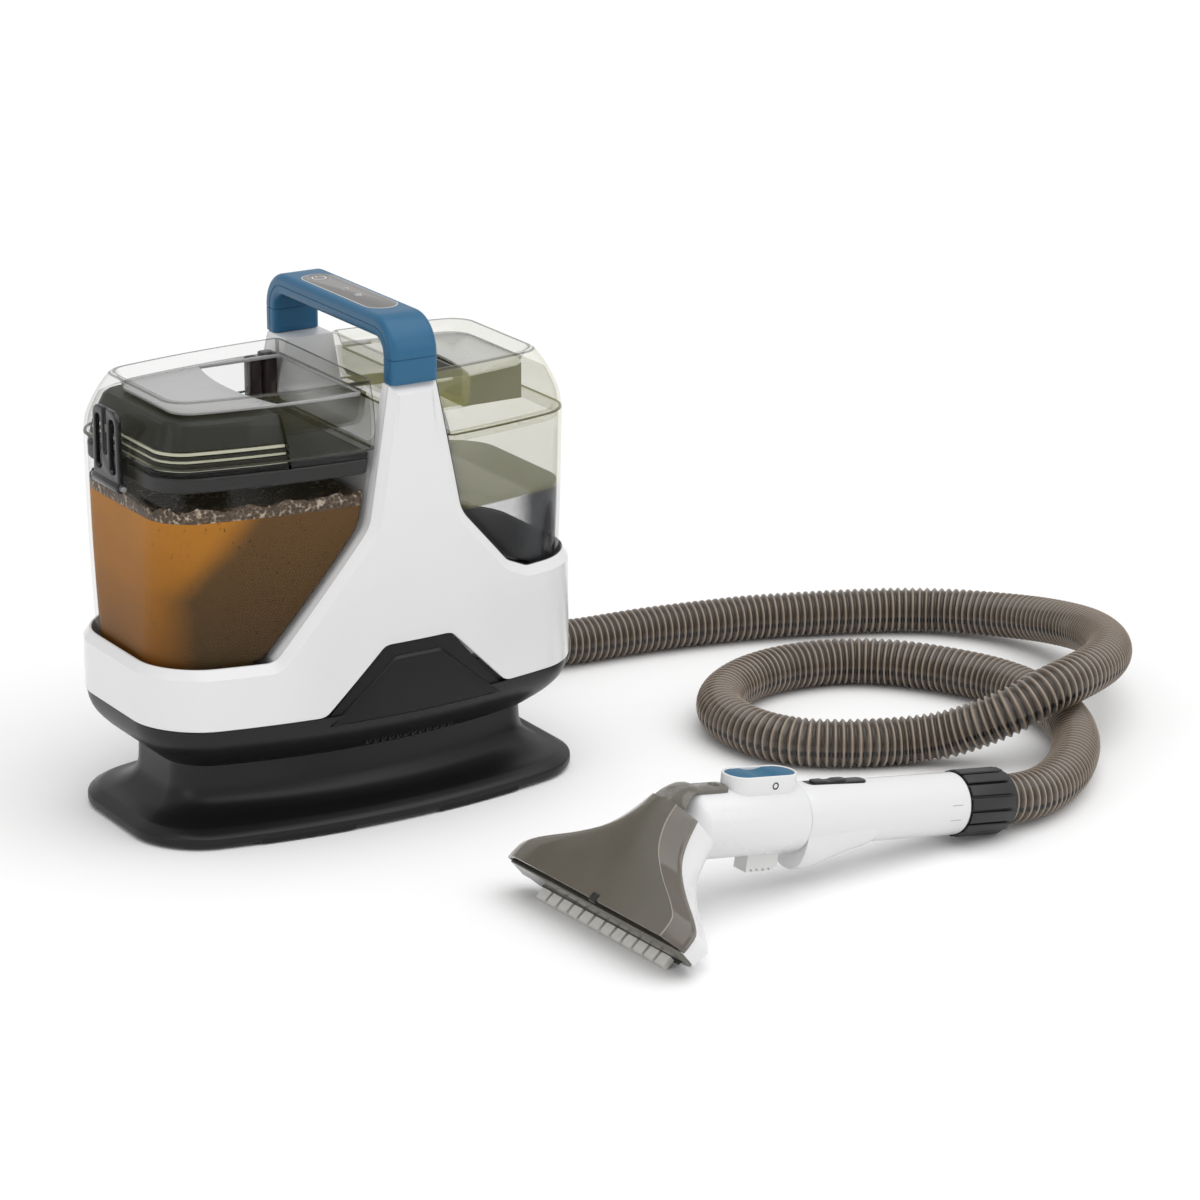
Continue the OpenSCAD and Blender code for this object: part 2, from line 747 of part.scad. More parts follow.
module dock_valve() {
    cup_z = wall_top_z - 4;
    color("#1a1a1a") difference() {
        union() {
            translate([valve_x, 0, wall_top_z - 6]) cylinder(r = dock_r + 3, h = 6);
            translate([valve_x, 0, wall_top_z - 1]) cylinder(r = dock_r - 0.1, h = deck_t + 1);
            translate([pump_x, 0, pump_z]) cylinder(r = 5, h = cup_z - pump_z);
        }
        translate([valve_x, 0, cup_z]) cylinder(r = 8, h = 20);
        translate([pump_x, 0, pump_z]) cylinder(r = 2.5, h = cup_z - pump_z + 1);
        translate([pump_x, 30, pump_z]) rotate([90, 0, 0]) cylinder(r = pump_r, h = 60);
    }
}

// ---------------------------------------------------------------- tanks

latch_w = 40;
latch_t = 4;
latch_z0 = seam_z - 22;
latch_z1 = seam_z + 31;
latch_x = -half_l + 1.5;
nub_x = -half_l + 8;
ear_t = 4;
float_x = -95;
float_r = 12;
cage_h = 30;
separator_z = seam_z - 6;
gasket_h = 6;

module dirty_tank() {
    color("#c9cdb4", 0.45) {
        difference() {
            tank(-1);
            tank_room(-1);
        }
        // ears that carry the latch
        for (s = [-1, 1]) difference() {
            translate([-half_l + 2, s * (latch_w / 2 + fit + ear_t / 2) - ear_t / 2, latch_z0 - 5])
                cube([9, ear_t, 10]);
            translate([latch_x + 2, 0, latch_z0]) rotate([90, 0, 0])
                cylinder(r = pin_r, h = 99, center = true, $fn = 24);
        }
    }
}

module dirty_water() {
    color("#8a5a22") water(-1, dirty_level);
}

module dirty_lid() {
    color("#c9cdb4", 0.45) {
        lid(-1, dirty_plate_x);
        // nub that the latch closes on
        translate([nub_x, -8, seam_z + 14]) cube([9, 16, 5]);
    }
}

// Black separator under the lid: it parts the air from the water
module separator() {
    scoop_end = column_x - dirty_plate_x - 2 * tank_wall;
    color("#26282b") difference() {
        union() {
            intersection() {
                beside_column(-1, tank_gap + tank_wall + 6)
                    loft([shell_sec(separator_z, 16, side_bow - 4.4, 20, 4),
                          shell_sec(plate_z - tank_wall, 27, side_bow - 8, 16, 8)]);
                translate([-big, -big / 2, 0]) cube([big + scoop_end, big, big]);
            }
            beside_column(-1, tank_gap + tank_wall + fit) loft([for (z = [separator_z, separator_z + 4])
                shell_sec(z, 8.8 + tank_wall + 0.6, side_bow - 4.4, 22)]);
        }
        translate([float_x, 0, 0]) cylinder(r = 6, h = big);
        // room for air inside
        intersection() {
            loft([shell_sec(separator_z + 7, 30, side_bow - 6, 12, 6),
                  shell_sec(plate_z - tank_wall - 3, 34, side_bow - 8, 12, 8)]);
            translate([-big, -big / 2, 0]) cube([big + scoop_end - 3, big, big]);
        }
    }
}

module lid_gasket() {
    color("#141516") difference() {
        beside_column(-1, tank_gap + tank_wall + fit)
            loft([for (z = [separator_z - gasket_h, separator_z])
                shell_sec(z, 8.8 + tank_wall + fit, side_bow - 4.2, 22)]);
        beside_column(-1, tank_gap + tank_wall + 7)
            loft([for (z = [separator_z - gasket_h - 1, separator_z + 1])
                shell_sec(z, 8.8 + tank_wall + 7, side_bow - 4.2, 16)]);
    }
}

module float_cage() {
    color("#2b2d30") translate([float_x, 0, separator_z - cage_h]) difference() {
        cylinder(r = float_r + 4, h = cage_h);
        translate([0, 0, 2]) cylinder(r = float_r + 1, h = cage_h);
        for (a = [0, 60, 120]) rotate([0, 0, a]) translate([-30, -5, 4]) cube([60, 10, cage_h - 10]);
        translate([0, 0, -1]) cylinder(r = 5, h = 9);
    }
}

module float_valve() {
    color("#d8d5cc") translate([float_x, 0, separator_z - cage_h + 2 + fit]) {
        cylinder(r = float_r, h = 10);
        translate([0, 0, 10 - eps]) cylinder(r1 = float_r - 2, r2 = 4, h = 4);
    }
}

module dirty_latch() {
    color("#17181a") difference() {
        union() {
            translate([latch_x, -latch_w / 2, latch_z0])
                cube([latch_t, latch_w, latch_z1 - latch_z0]);
            translate([latch_x + latch_t / 2, 0, latch_z0]) rotate([90, 0, 0])
                cylinder(r = pin_r + 2, h = latch_w, center = true);
            // hook that closes on the lid's nub
            translate([latch_x + 1, -6, seam_z + 13]) cube([nub_x - fit - latch_x - 1, 12, 7]);
        }
        // two loops with a bar between them
        for (s = [-1, 1]) translate([latch_x - 1, s * 11 - 5, latch_z0 + 8])
            cube([latch_t + 2, 10, latch_z1 - latch_z0 - 14]);
        translate([latch_x + latch_t / 2, 0, latch_z0]) rotate([90, 0, 0])
            cylinder(r = pin_r + running, h = 99, center = true, $fn = 24);
    }
}

module latch_pin() {
    color("#a9adb1") translate([latch_x + 2, 0, latch_z0]) rotate([90, 0, 0])
        cylinder(r = pin_r - 0.02, h = latch_w + 2 * (ear_t + fit), center = true, $fn = 24);
}

module clean_tank() {
    color("#c9cdb4", 0.4) difference() {
        tank(1);
        tank_room(1);
        translate([valve_x, 0, 0]) cylinder(r = 9, h = 200);
    }
}

module clean_water() {
    color("#8d9094", 0.6) difference() {
        water(1, clean_level);
        translate([valve_x, 0, 0]) cylinder(r = 12 + fit, h = tank_z + 22);
    }
}

module clean_lid() {
    color("#c9cdb4", 0.4) lid(1, clean_plate_x);
}

module clean_gasket() {
    color("#141516") difference() {
        beside_column(1, tank_gap + tank_wall + fit)
            loft([for (z = [separator_z, lid_z + 1])
                shell_sec(z, 8.8 + tank_wall + 0.5, side_bow - 4.2, 22)]);
        beside_column(1, tank_gap + tank_wall + 4)
            loft([for (z = [separator_z - 1, lid_z + 2])
                shell_sec(z, 8.8 + tank_wall + 4, side_bow - 4.2, 18)]);
    }
}

// Strainer tray that hangs under the clean lid's plate
module strainer() {
    x0 = column_x + clean_plate_x + 2 * tank_wall;
    tray_l = half_l - 35.6 - x0;
    tray_margin = 60;    // from the shell's front and back to the tray
    tray_w = shell_w - 2 * tray_margin;
    tray_h = 26;
    tray_wall = 2;
    color("#5a5d60") translate([x0, -tray_w / 2, plate_z - tank_wall - tray_h]) difference() {
        cube([tray_l, tray_w, tray_h]);
        translate([tray_wall, tray_wall, tray_wall])
            cube([tray_l - 2 * tray_wall, tray_w - 2 * tray_wall, tray_h]);
        for (x = [8 : 8 : tray_l - 6], y = [12 : 10 : tray_w - 8])
            translate([x, y, -1]) cylinder(r = 2, h = tray_wall + 2, $fn = 16);
    }
}

module clean_valve() {
    color("#202124") translate([valve_x, 0, tank_z]) difference() {
        union() {
            cylinder(r = 8.9, h = 16);
            translate([0, 0, tank_wall]) cylinder(r = 12, h = 3);
        }
        translate([0, 0, 6]) cylinder(r = 6, h = 20);
        translate([0, 0, -1]) cylinder(r = 2.5 + running, h = 20);
    }
}

module valve_plunger() {
    color("#c7c9cc") translate([valve_x, 0, tank_z]) {
        translate([0, 0, 0.1]) cylinder(r = 2.5, h = 16);
        translate([0, 0, 6 + fit]) cylinder(r = 5, h = 2);
    }
}

// ---------------------------------------------------------------- hose port

port_wall = shell_wall - fit;

module hose_port() {
    color("#1b1b1c") translate([port_x, 0, port_z]) rotate([-90, 0, 0]) difference() {
        union() {
            translate([0, 0, port_y - port_wall]) cylinder(r = elbow_r + 2 - fit, h = port_wall + 6);
            translate([0, 0, port_y + fit]) cylinder(r = elbow_r + 7, h = 6 - fit);
        }
        translate([0, 0, port_y - port_wall - 1]) cylinder(r = elbow_r - 4, h = 60);
    }
}

module hose_elbow() {
    y0 = port_y + 6;
    y_mid = port_y + elbow_out;
    color("#1d1d1e") translate([port_x, 0, port_z]) difference() {
        union() {
            translate([0, y0, 0]) rotate([-90, 0, 0]) cylinder(r = elbow_r, h = y_mid - y0);
            translate([0, y_mid, 0]) sphere(r = elbow_r);
            translate([0, y_mid, 0]) rotate([0, 90, 0]) cylinder(r = elbow_r, h = elbow_reach);
        }
        translate([0, y0 - 1, 0]) rotate([-90, 0, 0]) cylinder(r = elbow_r - 4, h = y_mid - y0 + 1);
        translate([0, y_mid, 0]) sphere(r = elbow_r - 4);
        translate([0, y_mid, 0]) rotate([0, 90, 0]) cylinder(r = elbow_r - 4, h = elbow_reach + 1);
    }
}

module cord_gland() {
    color("#161616") translate([-60, 0, port_z]) rotate([-90, 0, 0]) difference() {
        union() {
            translate([0, 0, half_w - 14]) cylinder(r = 6.7, h = 14);
            translate([0, 0, half_w - 1.6]) cylinder(r1 = 9, r2 = 6, h = 12);
        }
        cylinder(r = 3.5, h = 200);
    }
}

// ---------------------------------------------------------------- hose

function unit(v) = v / norm(v);

// The way the hose enters the cuff
cuff_way = -[cos(wand_tilt) * cos(tool_yaw), cos(wand_tilt) * sin(tool_yaw), -sin(wand_tilt)];

// A point on the smooth curve through the route
function route_at(pts, k, t) =
    let (n = len(pts) - 1, p0 = pts[max(k - 1, 0)], p1 = pts[k],
         p2 = pts[min(k + 1, n)], p3 = pts[min(k + 2, n)])
    0.5 * (2 * p1 + (p2 - p0) * t + (2 * p0 - 5 * p1 + 4 * p2 - p3) * t * t
        + (3 * p1 - p0 - 3 * p2 + p3) * t * t * t);

hose_line = concat([for (k = [0 : len(hose_route) - 2]) each
    [for (t = k % 3 == 0 ? [0, 0.5] : [0]) route_at(hose_route, k, t)]],
    [hose_route[len(hose_route) - 1]]);

function tangent(line, i) = unit(line[min(i + 1, len(line) - 1)] - line[max(i - 1, 0)]);

// Ring i of a tube: it stands square to the line, with one axis level
function tube_ring(line, i, r, sides, drop = 0) =
    let (t = i == 0 ? [1, 0, 0] : i == len(line) - 1 ? cuff_way : tangent(line, i),
         level = unit(cross([0, 0, 1], t)), up = cross(t, level))
    [for (s = [0 : sides - 1]) let (a = 360 * s / sides)
        line[i] - drop * up + r * (cos(a) * level + sin(a) * up)];

module hose() {
    sides = 12;
    outer = [for (i = [0 : len(hose_line) - 1]) tube_ring(hose_line, i, hose_d / 2, sides)];
    inner = [for (i = [len(hose_line) - 1 : -1 : 0])
        tube_ring(hose_line, i, hose_d / 2 - hose_wall, sides)];
    rings = concat(outer, inner);
    n = len(rings);
    color("#7d6a58") polyhedron(
        points = [for (ring = rings) each ring],
        faces = [for (k = [0 : n - 1], s = [0 : sides - 1])
            let (j = (s + 1) % sides, a = k * sides, b = ((k + 1) % n) * sides)
            each [[a + s, b + s, b + j], [a + s, b + j, a + j]]]);
}

module solution_tube() {
    color("#2b2622") skin([for (i = [0 : len(hose_line) - 1])
        tube_ring(hose_line, i, tube_d / 2, 8, hose_d / 2 - hose_wall - tube_d / 2 - 0.9)]);
}

// ---------------------------------------------------------------- hand tool

module in_tool() {
    translate([tool_x, tool_y, 0]) rotate([0, 0, tool_yaw]) children();
}

// Along the wand: Z runs from the seam to the hose, and X points to the wand's underside
module in_wand() {
    in_tool() translate([wand_x, 0, wand_z]) rotate([0, 90 + wand_tilt, 0]) children();
}

// A cross-section of the nozzle's face: t along the face, w across, h out from the face
function on_face(t, w, h) = [
    lip_x + t * cos(face_tilt) - h * sin(face_tilt), w,
    lip_z + t * sin(face_tilt) + h * cos(face_tilt)];

// Clear cover: a raised plate that slopes down to a rim; its inside starts below the rim
function cover_ring(t, half, rise, wall) =
    let (w = half - wall, h = rise - wall, side = min(14, w * 0.45), low = wall > 0 ? -1 : 0)
    [for (p = [[w, low], [w, 0.1], [w - 1.5, h * 0.35], [w - side, h], [-w + side, h],
               [-w + 1.5, h * 0.35], [-w, 0.1], [-w, low]])
        on_face(t, p[0], p[1])];

module nozzle_cover() {
    last = len(fan) - 1;
    in_tool() color("#6b665a", 0.6) difference() {
        skin([for (f = fan) cover_ring(f[0] * face_l, f[1], cover_h, 0)]);
        skin([for (i = [0 : last]) cover_ring(
            fan[i][0] * face_l + (i == 0 ? -1 : i == last ? -cover_wall : 0),
            fan[i][1], cover_h, cover_wall)]);
    }
}

module cover_clip() {
    clip_z = -barrel_l - 5;
    clip_l = pod_z0 - 1 - clip_z;
    in_wand() color("#746d62", 0.7) difference() {
        translate([-barrel_r - 2.2, -9, clip_z]) cube([2.2, 18, clip_l]);
        translate([-barrel_r - 8, 0, clip_z + clip_l - 5]) rotate([0, 90, 0]) cylinder(r = 3.5, h = 12);
    }
}

// White body of the nozzle, with its suction channel
function body_ring(t, half, d, wall) =
    let (w = half - wall, e = min(10, w * 0.3))
    [for (p = [[w, -fit], [-w, -fit], [-w + e * 0.3, -d * 0.7], [-w + e, -d],
               [w - e, -d], [w - e * 0.3, -d * 0.7]])
        on_face(t, p[0], p[1])];

// The body is shallower at the lip, where it nears the floor
function depth_at(share) = nozzle_d + min(1, share / 0.17) * nozzle_swell;

module nozzle_body() {
    color("#f0f0f0") difference() {
        union() {
            in_tool() difference() {
                skin([for (f = fan) body_ring(f[0] * face_l, f[1] - 1, depth_at(f[0]), 0)]);
                skin([for (f = fan)
                    [for (p = body_ring(f[0] * face_l + (f[0] == 0 ? -1 : f[0] == 1 ? 4 : 0),
                        f[1] - 1, depth_at(f[0]) - 3, 3)) p + [0.6, 0, -1.2] * (f[0] == 1 ? 0 : 1)]]);
            }
            in_wand() translate([0, 0, -barrel_l]) cylinder(r = barrel_r, h = barrel_l - fit);
            in_wand() translate([0, 0, -barrel_l]) scale([1, 1, 0.55]) sphere(r = barrel_r);
        }
        // suction channel through the barrel, above the trigger's room
        in_wand() translate([-5, 0, -barrel_l - 4]) cylinder(r = 13, h = barrel_l + 5);
        // slot for the trigger
        in_wand() translate([10 - fit, -7 - fit, trigger_pivot[1] - 33]) cube([30, 14 + 2 * fit, 38]);
        in_wand() translate([trigger_pivot[0], 0, trigger_pivot[1]]) rotate([90, 0, 0])
            cylinder(r = pin_r, h = 2 * (7.5 + 5) + 0.2, center = true, $fn = 24);
    }
}

module brush_strip() {
    strip_l = tuft_count * tuft_pitch;
    strip_h = 1.75 - nozzle_d;   // the bar stands on the channel's floor
    in_tool() color("#eceae6") {
        translate([lip_x, 0, lip_z]) rotate([0, -face_tilt, 0])
            translate([-2, -strip_l / 2, strip_h]) cube([6, strip_l, 10]);
        for (i = [0 : tuft_count - 1])
            translate([lip_x, (i - (tuft_count - 1) / 2) * tuft_pitch, lip_z])
                rotate([0, -face_tilt, 0])
                    translate([-8.5, -5, -nozzle_d * 0.83 + 1]) cube([8, 10, 5]);
    }
}

module spray_nozzle() {
    in_tool() color("#1b1b1b") translate(on_face(face_l * 0.16, 0, -fit + 0.1)) rotate([0, -face_tilt, 0]) {
        cylinder(r = 4, h = 3);
        cylinder(r = 1.5, h = 5);
    }
}

pod_h = 17;
pod_sink = 8;        // how far the pod reaches down round the barrel
pod_l = 58;
pod_z0 = -61;

pod_top = -barrel_r - pod_h + pod_sink;
pod_mid = pod_z0 + pod_l / 2;
pod_w = 26;
pod_pin_l = 2;

// The two short pins in the pod's sides
module at_pod_pins() {
    for (s = [-1, 1]) translate([-barrel_r - 2.2, s * (pod_w / 2 - pod_pin_l - 0.2), pod_mid + 5])
        rotate([-s * 90, 0, 0]) children();
}

module button_pod() {
    in_wand() color("#f2f2f2") difference() {
        translate([pod_top, 0, pod_mid]) rotate([0, 90, 0])
            linear_extrude(pod_h) rounded_rect(pod_l, pod_w, 12.9);
        // seat of the button
        translate([pod_top - 1, 0, pod_mid]) rotate([0, 90, 0])
            linear_extrude(7) rounded_rect(pod_l - 6 + 2 * fit, 20 + 2 * fit, 9.9);
        // the barrel passes under it
        translate([0, 0, -barrel_l]) cylinder(r = barrel_r, h = barrel_l);
        at_pod_pins() cylinder(r = pin_r, h = pod_pin_l + 1, $fn = 24);
    }
}

module release_button() {
    in_wand() color("#34708f") difference() {
        translate([pod_top + 0.4, 0, pod_mid]) rotate([0, 90, 0])
            linear_extrude(4) rounded_rect(pod_l - 6, 20, 9.9);
        // hollow for the thumb
        translate([pod_top - 28, 0, pod_mid]) rotate([90, 0, 0])
            cylinder(r = 30, h = 60, center = true, $fn = 96);
    }
}

module pod_pin() {
    in_wand() color("#9da1a5") at_pod_pins() cylinder(r = pin_r - 0.02, h = pod_pin_l, $fn = 24);
}

trigger_pivot = [14, -10];

module trigger() {
    in_wand() color("#e2e2e2") difference() {
        union() {
            translate([15, -7, trigger_pivot[1] - 28]) cube([barrel_r - 6, 14, 26]);
            for (i = [0 : 4]) translate([barrel_r + 5, -7, trigger_pivot[1] - 28 + i * 5])
                cube([6, 14, 3]);
            translate([trigger_pivot[0], 0, trigger_pivot[1]]) rotate([90, 0, 0])
                cylinder(r = 4, h = 14, center = true);
        }
        translate([trigger_pivot[0], 0, trigger_pivot[1]]) rotate([90, 0, 0])
            cylinder(r = pin_r + running, h = 40, center = true, $fn = 24);
    }
}

module trigger_pin() {
    in_wand() color("#a9adb1") translate([trigger_pivot[0], 0, trigger_pivot[1]]) rotate([90, 0, 0])
        cylinder(r = pin_r - 0.02, h = 2 * (7.5 + 5), center = true, $fn = 24);
}

module wand_shell() {
    in_wand() color("#f3f3f3") difference() {
        union() {
            cylinder(r1 = wand_r + 1.5, r2 = wand_r, h = wand_l * 0.4);
            translate([0, 0, wand_l * 0.4]) cylinder(r = wand_r, h = wand_l * 0.6);
        }
        translate([0, 0, -1]) cylinder(r = wand_r - 4, h = wand_l + 2);
        // slot of the thumb slider
        translate([-wand_r - 10, -5, 8]) cube([14, 10, 52]);
        // seat of the belly cover
        translate([wand_r - 7, -30, -1]) cube([20, 60, 64]);
        // recess of the cuff latch
        translate([0, -wand_r - 5, wand_l - 18]) translate([-6, 0, 0]) cube([12, 8, 10]);
    }
}

// Cover under the front of the wand, with the trigger's room
module belly_cover() {
    in_wand() color("#efefef") difference() {
        intersection() {
            skin([for (s = [[0, 37, 12], [10, 37, 15], [26, 32, 17], [44, 26, 17.6], [62, 22.4, 18]])
                [for (p = [[wand_r - 7 + fit, -1], [s[1] - 5, -1], [s[1], -0.62],
                           [s[1], 0.62], [s[1] - 5, 1], [wand_r - 7 + fit, 1]])
                    [p[0], p[1] * s[2], s[0]]]]);
            translate([0, -30, 0]) cube([60, 60, 63 - 2 * fit]);
        }
        translate([0, 0, -1]) cylinder(r = wand_r - 4, h = 80);
    }
}

module thumb_slider() {
    in_wand() color("#1a1a1b") {
        translate([-wand_r - 0.6, -5 + fit, 8 + fit]) cube([4.4, 10 - 2 * fit, 36]);
        for (z = [18, 32]) translate([-wand_r - 1.6, -4, z]) cube([2, 8, 5]);
    }
}

module cuff_latch() {
    in_wand() color("#e9e9e9") translate([-6 + fit, -wand_r + 0.6, wand_l - 18 + fit])
        cube([12 - 2 * fit, 2.4, 10 - 2 * fit]);
}

module cuff() {
    in_wand() color("#1c1c1d") difference() {
        union() {
            translate([0, 0, wand_l + fit]) cylinder(r = cuff_r - 0.8, h = cuff_l - fit);
            for (i = [0 : cuff_ribs - 1]) rotate([0, 0, i * 360 / cuff_ribs])
                translate([cuff_r - 2, -3, wand_l + fit]) cube([2, 6, cuff_l - fit - 6]);
            translate([0, 0, wand_l - 14]) cylinder(r = wand_r - 4 - running, h = 16);
        }
        translate([0, 0, wand_l - 15]) cylinder(r = wand_r - 7, h = cuff_l + 40);
    }
}

foot();
base_plate();
rubber_feet();
base_screws();
lower_housing();
deck();
deck_screws();
upper_shell();
centre_tower();
handle_sockets();
handle_grip();
handle_cover();
control_panel();
control_board();
power_switch();
power_button();
indicator_lens();
fan_case();
impeller();
vacuum_motor();
motor_ring();
pump();
dock_valve();
dirty_tank();
dirty_water();
dirty_lid();
separator();
lid_gasket();
float_cage();
float_valve();
dirty_latch();
latch_pin();
clean_tank();
clean_water();
clean_lid();
clean_gasket();
strainer();
clean_valve();
valve_plunger();
hose_port();
hose_elbow();
cord_gland();
hose();
solution_tube();
nozzle_body();
nozzle_cover();
cover_clip();
brush_strip();
spray_nozzle();
button_pod();
release_button();
pod_pin();
trigger();
trigger_pin();
wand_shell();
belly_cover();
thumb_slider();
cuff_latch();
cuff();
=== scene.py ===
"""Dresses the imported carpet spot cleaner: each section makes one piece, or a group of like
pieces, with its sizes, mesh, material and place. Lengths are in metres, on the machine's
own axes: X to the clean tank, Y to the back, Z up, with the floor at 0."""
import json
import math

import bmesh
import bpy
import numpy as np
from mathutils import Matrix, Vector

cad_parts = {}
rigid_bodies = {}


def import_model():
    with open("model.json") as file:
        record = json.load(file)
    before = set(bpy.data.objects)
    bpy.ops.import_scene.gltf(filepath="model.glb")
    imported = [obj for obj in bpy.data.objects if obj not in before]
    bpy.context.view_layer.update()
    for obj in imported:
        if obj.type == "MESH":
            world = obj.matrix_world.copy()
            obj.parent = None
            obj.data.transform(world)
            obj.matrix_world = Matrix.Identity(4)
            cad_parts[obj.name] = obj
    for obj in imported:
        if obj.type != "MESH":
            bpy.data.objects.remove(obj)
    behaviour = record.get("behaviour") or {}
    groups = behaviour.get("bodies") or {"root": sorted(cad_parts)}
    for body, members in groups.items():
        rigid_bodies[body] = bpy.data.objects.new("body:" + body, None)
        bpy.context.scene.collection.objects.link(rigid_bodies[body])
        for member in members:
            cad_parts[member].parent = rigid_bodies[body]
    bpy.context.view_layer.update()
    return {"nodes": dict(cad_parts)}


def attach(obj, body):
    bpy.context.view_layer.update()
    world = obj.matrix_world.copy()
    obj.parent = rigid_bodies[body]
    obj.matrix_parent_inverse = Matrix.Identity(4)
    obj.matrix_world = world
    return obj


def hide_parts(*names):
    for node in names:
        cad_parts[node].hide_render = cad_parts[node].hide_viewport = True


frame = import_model()
node = frame["nodes"]
MM = 0.001

# ------------------------------------------------------------------ camera, floor and light
# The machine stands on a pale floor in a bright room, lit by a wide soft light overhead and
# two soft panels, as small appliances are shown for sale.



def add_object(name, data):
    """A new object in the scene, from a camera, a light or a mesh."""
    made = bpy.data.objects.new(name, data)
    bpy.context.scene.collection.objects.link(made)
    return made


def look(made, way):
    """Turns a camera or a light to face a way."""
    made.rotation_mode = "QUATERNION"
    made.rotation_quaternion = Vector(way).to_track_quat("-Z")


aim = Vector((0.2293, 0.0, 0.0997))
camera_data = bpy.data.cameras.new("camera")
camera_data.lens = 129.5
camera_data.sensor_width = 36
camera = add_object("camera", camera_data)
turn, lift, camera_distance = math.radians(-31.556), math.radians(17.797), 3.2319
away = Vector((math.sin(turn) * math.cos(lift), -math.cos(turn) * math.cos(lift), math.sin(lift)))
camera.location = aim + away * camera_distance
look(camera, -away)
camera_data.clip_end = 30
bpy.context.scene.camera = camera
bpy.context.scene.view_settings.view_transform = "Standard"


def new_material(name, color, rough=0.4, metal=0.0, **sockets):
    """A material with its shader ready; further sockets are given by their label."""
    material = bpy.data.materials.new(name)
    material.use_nodes = True
    material.diffuse_color = (*color, 1)
    shader = material.node_tree.nodes["Principled BSDF"]
    shader.inputs["Base Color"].default_value = (*color, 1)
    shader.inputs["Roughness"].default_value = rough
    shader.inputs["Metallic"].default_value = metal
    for label, value in sockets.items():
        shader.inputs[label.replace("_", " ")].default_value = value
    return material


def face_outward(mesh):
    """Turns a closed mesh's faces outward, if they all point in."""
    shape = bmesh.new()
    shape.from_mesh(mesh)
    if shape.calc_volume(signed=True) < 0:
        mesh.flip_normals()
    shape.free()
    mesh.update()


def link_mesh(name, mesh, material, smooth_angle=35):
    """Puts a finished mesh in the scene with one material, smooth but for its sharp edges."""
    mesh.name = name
    face_outward(mesh)
    mesh.materials.clear()
    mesh.materials.append(material)
    mesh.shade_smooth()
    mesh.set_sharp_from_angle(angle=math.radians(smooth_angle))
    return add_object(name, mesh)


def mesh_of(points, faces, recalc=False):
    """A mesh in metres from points in millimetres."""
    mesh = bpy.data.meshes.new("mesh")
    mesh.from_pydata([(x * MM, y * MM, z * MM) for x, y, z in points], [], faces)
    if recalc:
        shape = bmesh.new()
        shape.from_mesh(mesh)
        bmesh.ops.remove_doubles(shape, verts=shape.verts, dist=1e-6)
        bmesh.ops.recalc_face_normals(shape, faces=shape.faces)
        shape.to_mesh(mesh)
        shape.free()
    mesh.update()
    return mesh


floor_points = [(-6000, -4000, 0), (6000, -4000, 0), (6000, 8000, 0), (-6000, 8000, 0)]
floor_material = new_material("studio floor", (0.93, 0.93, 0.93), 0.9, Specular_IOR_Level=0.1)
link_mesh("studio_floor", mesh_of(floor_points, [(0, 1, 2, 3)]), floor_material)

world = bpy.data.worlds.new("room")
bpy.context.scene.world = world
world.use_nodes = True
room_light = world.node_tree.nodes["Background"]
room_light.inputs["Color"].default_value = (1, 1, 1, 1)
room_light.inputs["Strength"].default_value = 0.66


def add_panel(name, place, target, width, height, power):
    """A rectangular soft light at a place, turned to its target."""
    data = bpy.data.lights.new(name, "AREA")
    data.shape = "RECTANGLE"
    data.size, data.size_y, data.energy = width, height, power
    lamp = add_object(name, data)
    lamp.location = place
    look(lamp, Vector(target) - Vector(place))


add_panel("left_panel", (-2.3, -0.6, 1.2), (0, 0, 0.2), 0.7, 1.6, 5)
add_panel("front_panel", (1.4, -2.4, 1.4), (0.1, 0, 0.15), 1.2, 1.2, 5)

sky = bpy.data.lights.new("overhead", "SUN")
sky.energy, sky.angle = 1.45, math.radians(70)
sky_lamp = add_object("overhead", sky)
sky_lamp.rotation_euler = (math.radians(14), math.radians(9), 0)

# ------------------------------------------------------------------ suction hose
# A ribbed hose of smoky brown plastic over a wire helix, with the thin solution tube inside
# it. It leaves the elbow at the back, humps over itself once and ends in the tool's cuff.

hose_route = [
    (52, 138, 100), (80, 138, 98), (110, 139, 90), (140, 140, 75), (170, 141, 56),
    (200, 141, 39), (235, 140, 25), (284, 137, 18.5), (356, 131, 18.3), (432, 117, 18.3),
    (475, 103, 18.3), (516, 87, 18.3), (555, 68, 18.3), (588, 41, 19), (612, 2, 22),
    (621, -42, 28), (616, -92, 36), (598, -138, 44), (575, -175, 50), (549, -202, 54),
    (521, -221, 56.5), (494, -233, 57), (468, -238, 54), (444, -235, 45), (424, -223, 34),
    (402, -205, 23), (376, -189, 18.3), (344, -176, 18.3), (312, -154, 18.3),
    (296, -128, 18.3), (291, -98, 18.3), (296, -66, 18.3), (316, -36, 18.3),
    (349, -14, 18.3), (387, -5, 18.3), (426, -9, 18.3), (455, -22, 18.3), (480, -46, 18.3),
    (502, -82, 18.3), (516, -120, 18.3), (518, -163, 18.3), (506, -213, 18.3),
    (482, -257, 18.3), (451, -292, 18.3), (422, -315, 18.5), (396, -329, 19.2),
    (373, -335.4, 20.9), (352.6, -336.6, 23.5)]


def smooth_line(points, steps):
    """Points on the smooth curve through the given ones, with the given steps between two."""
    p = np.array(points, float)
    out = []
    for k in range(len(p) - 1):
        p0, p1, p2, p3 = p[max(k - 1, 0)], p[k], p[k + 1], p[min(k + 2, len(p) - 1)]
        for t in np.arange(steps) / steps:
            out.append(0.5 * (2 * p1 + (p2 - p0) * t + (2 * p0 - 5 * p1 + 4 * p2 - p3) * t ** 2
                              + (3 * p1 - p0 - 3 * p2 + p3) * t ** 3))
    return np.array(out + [p[-1]])


hose_line = smooth_line(hose_route, 8)


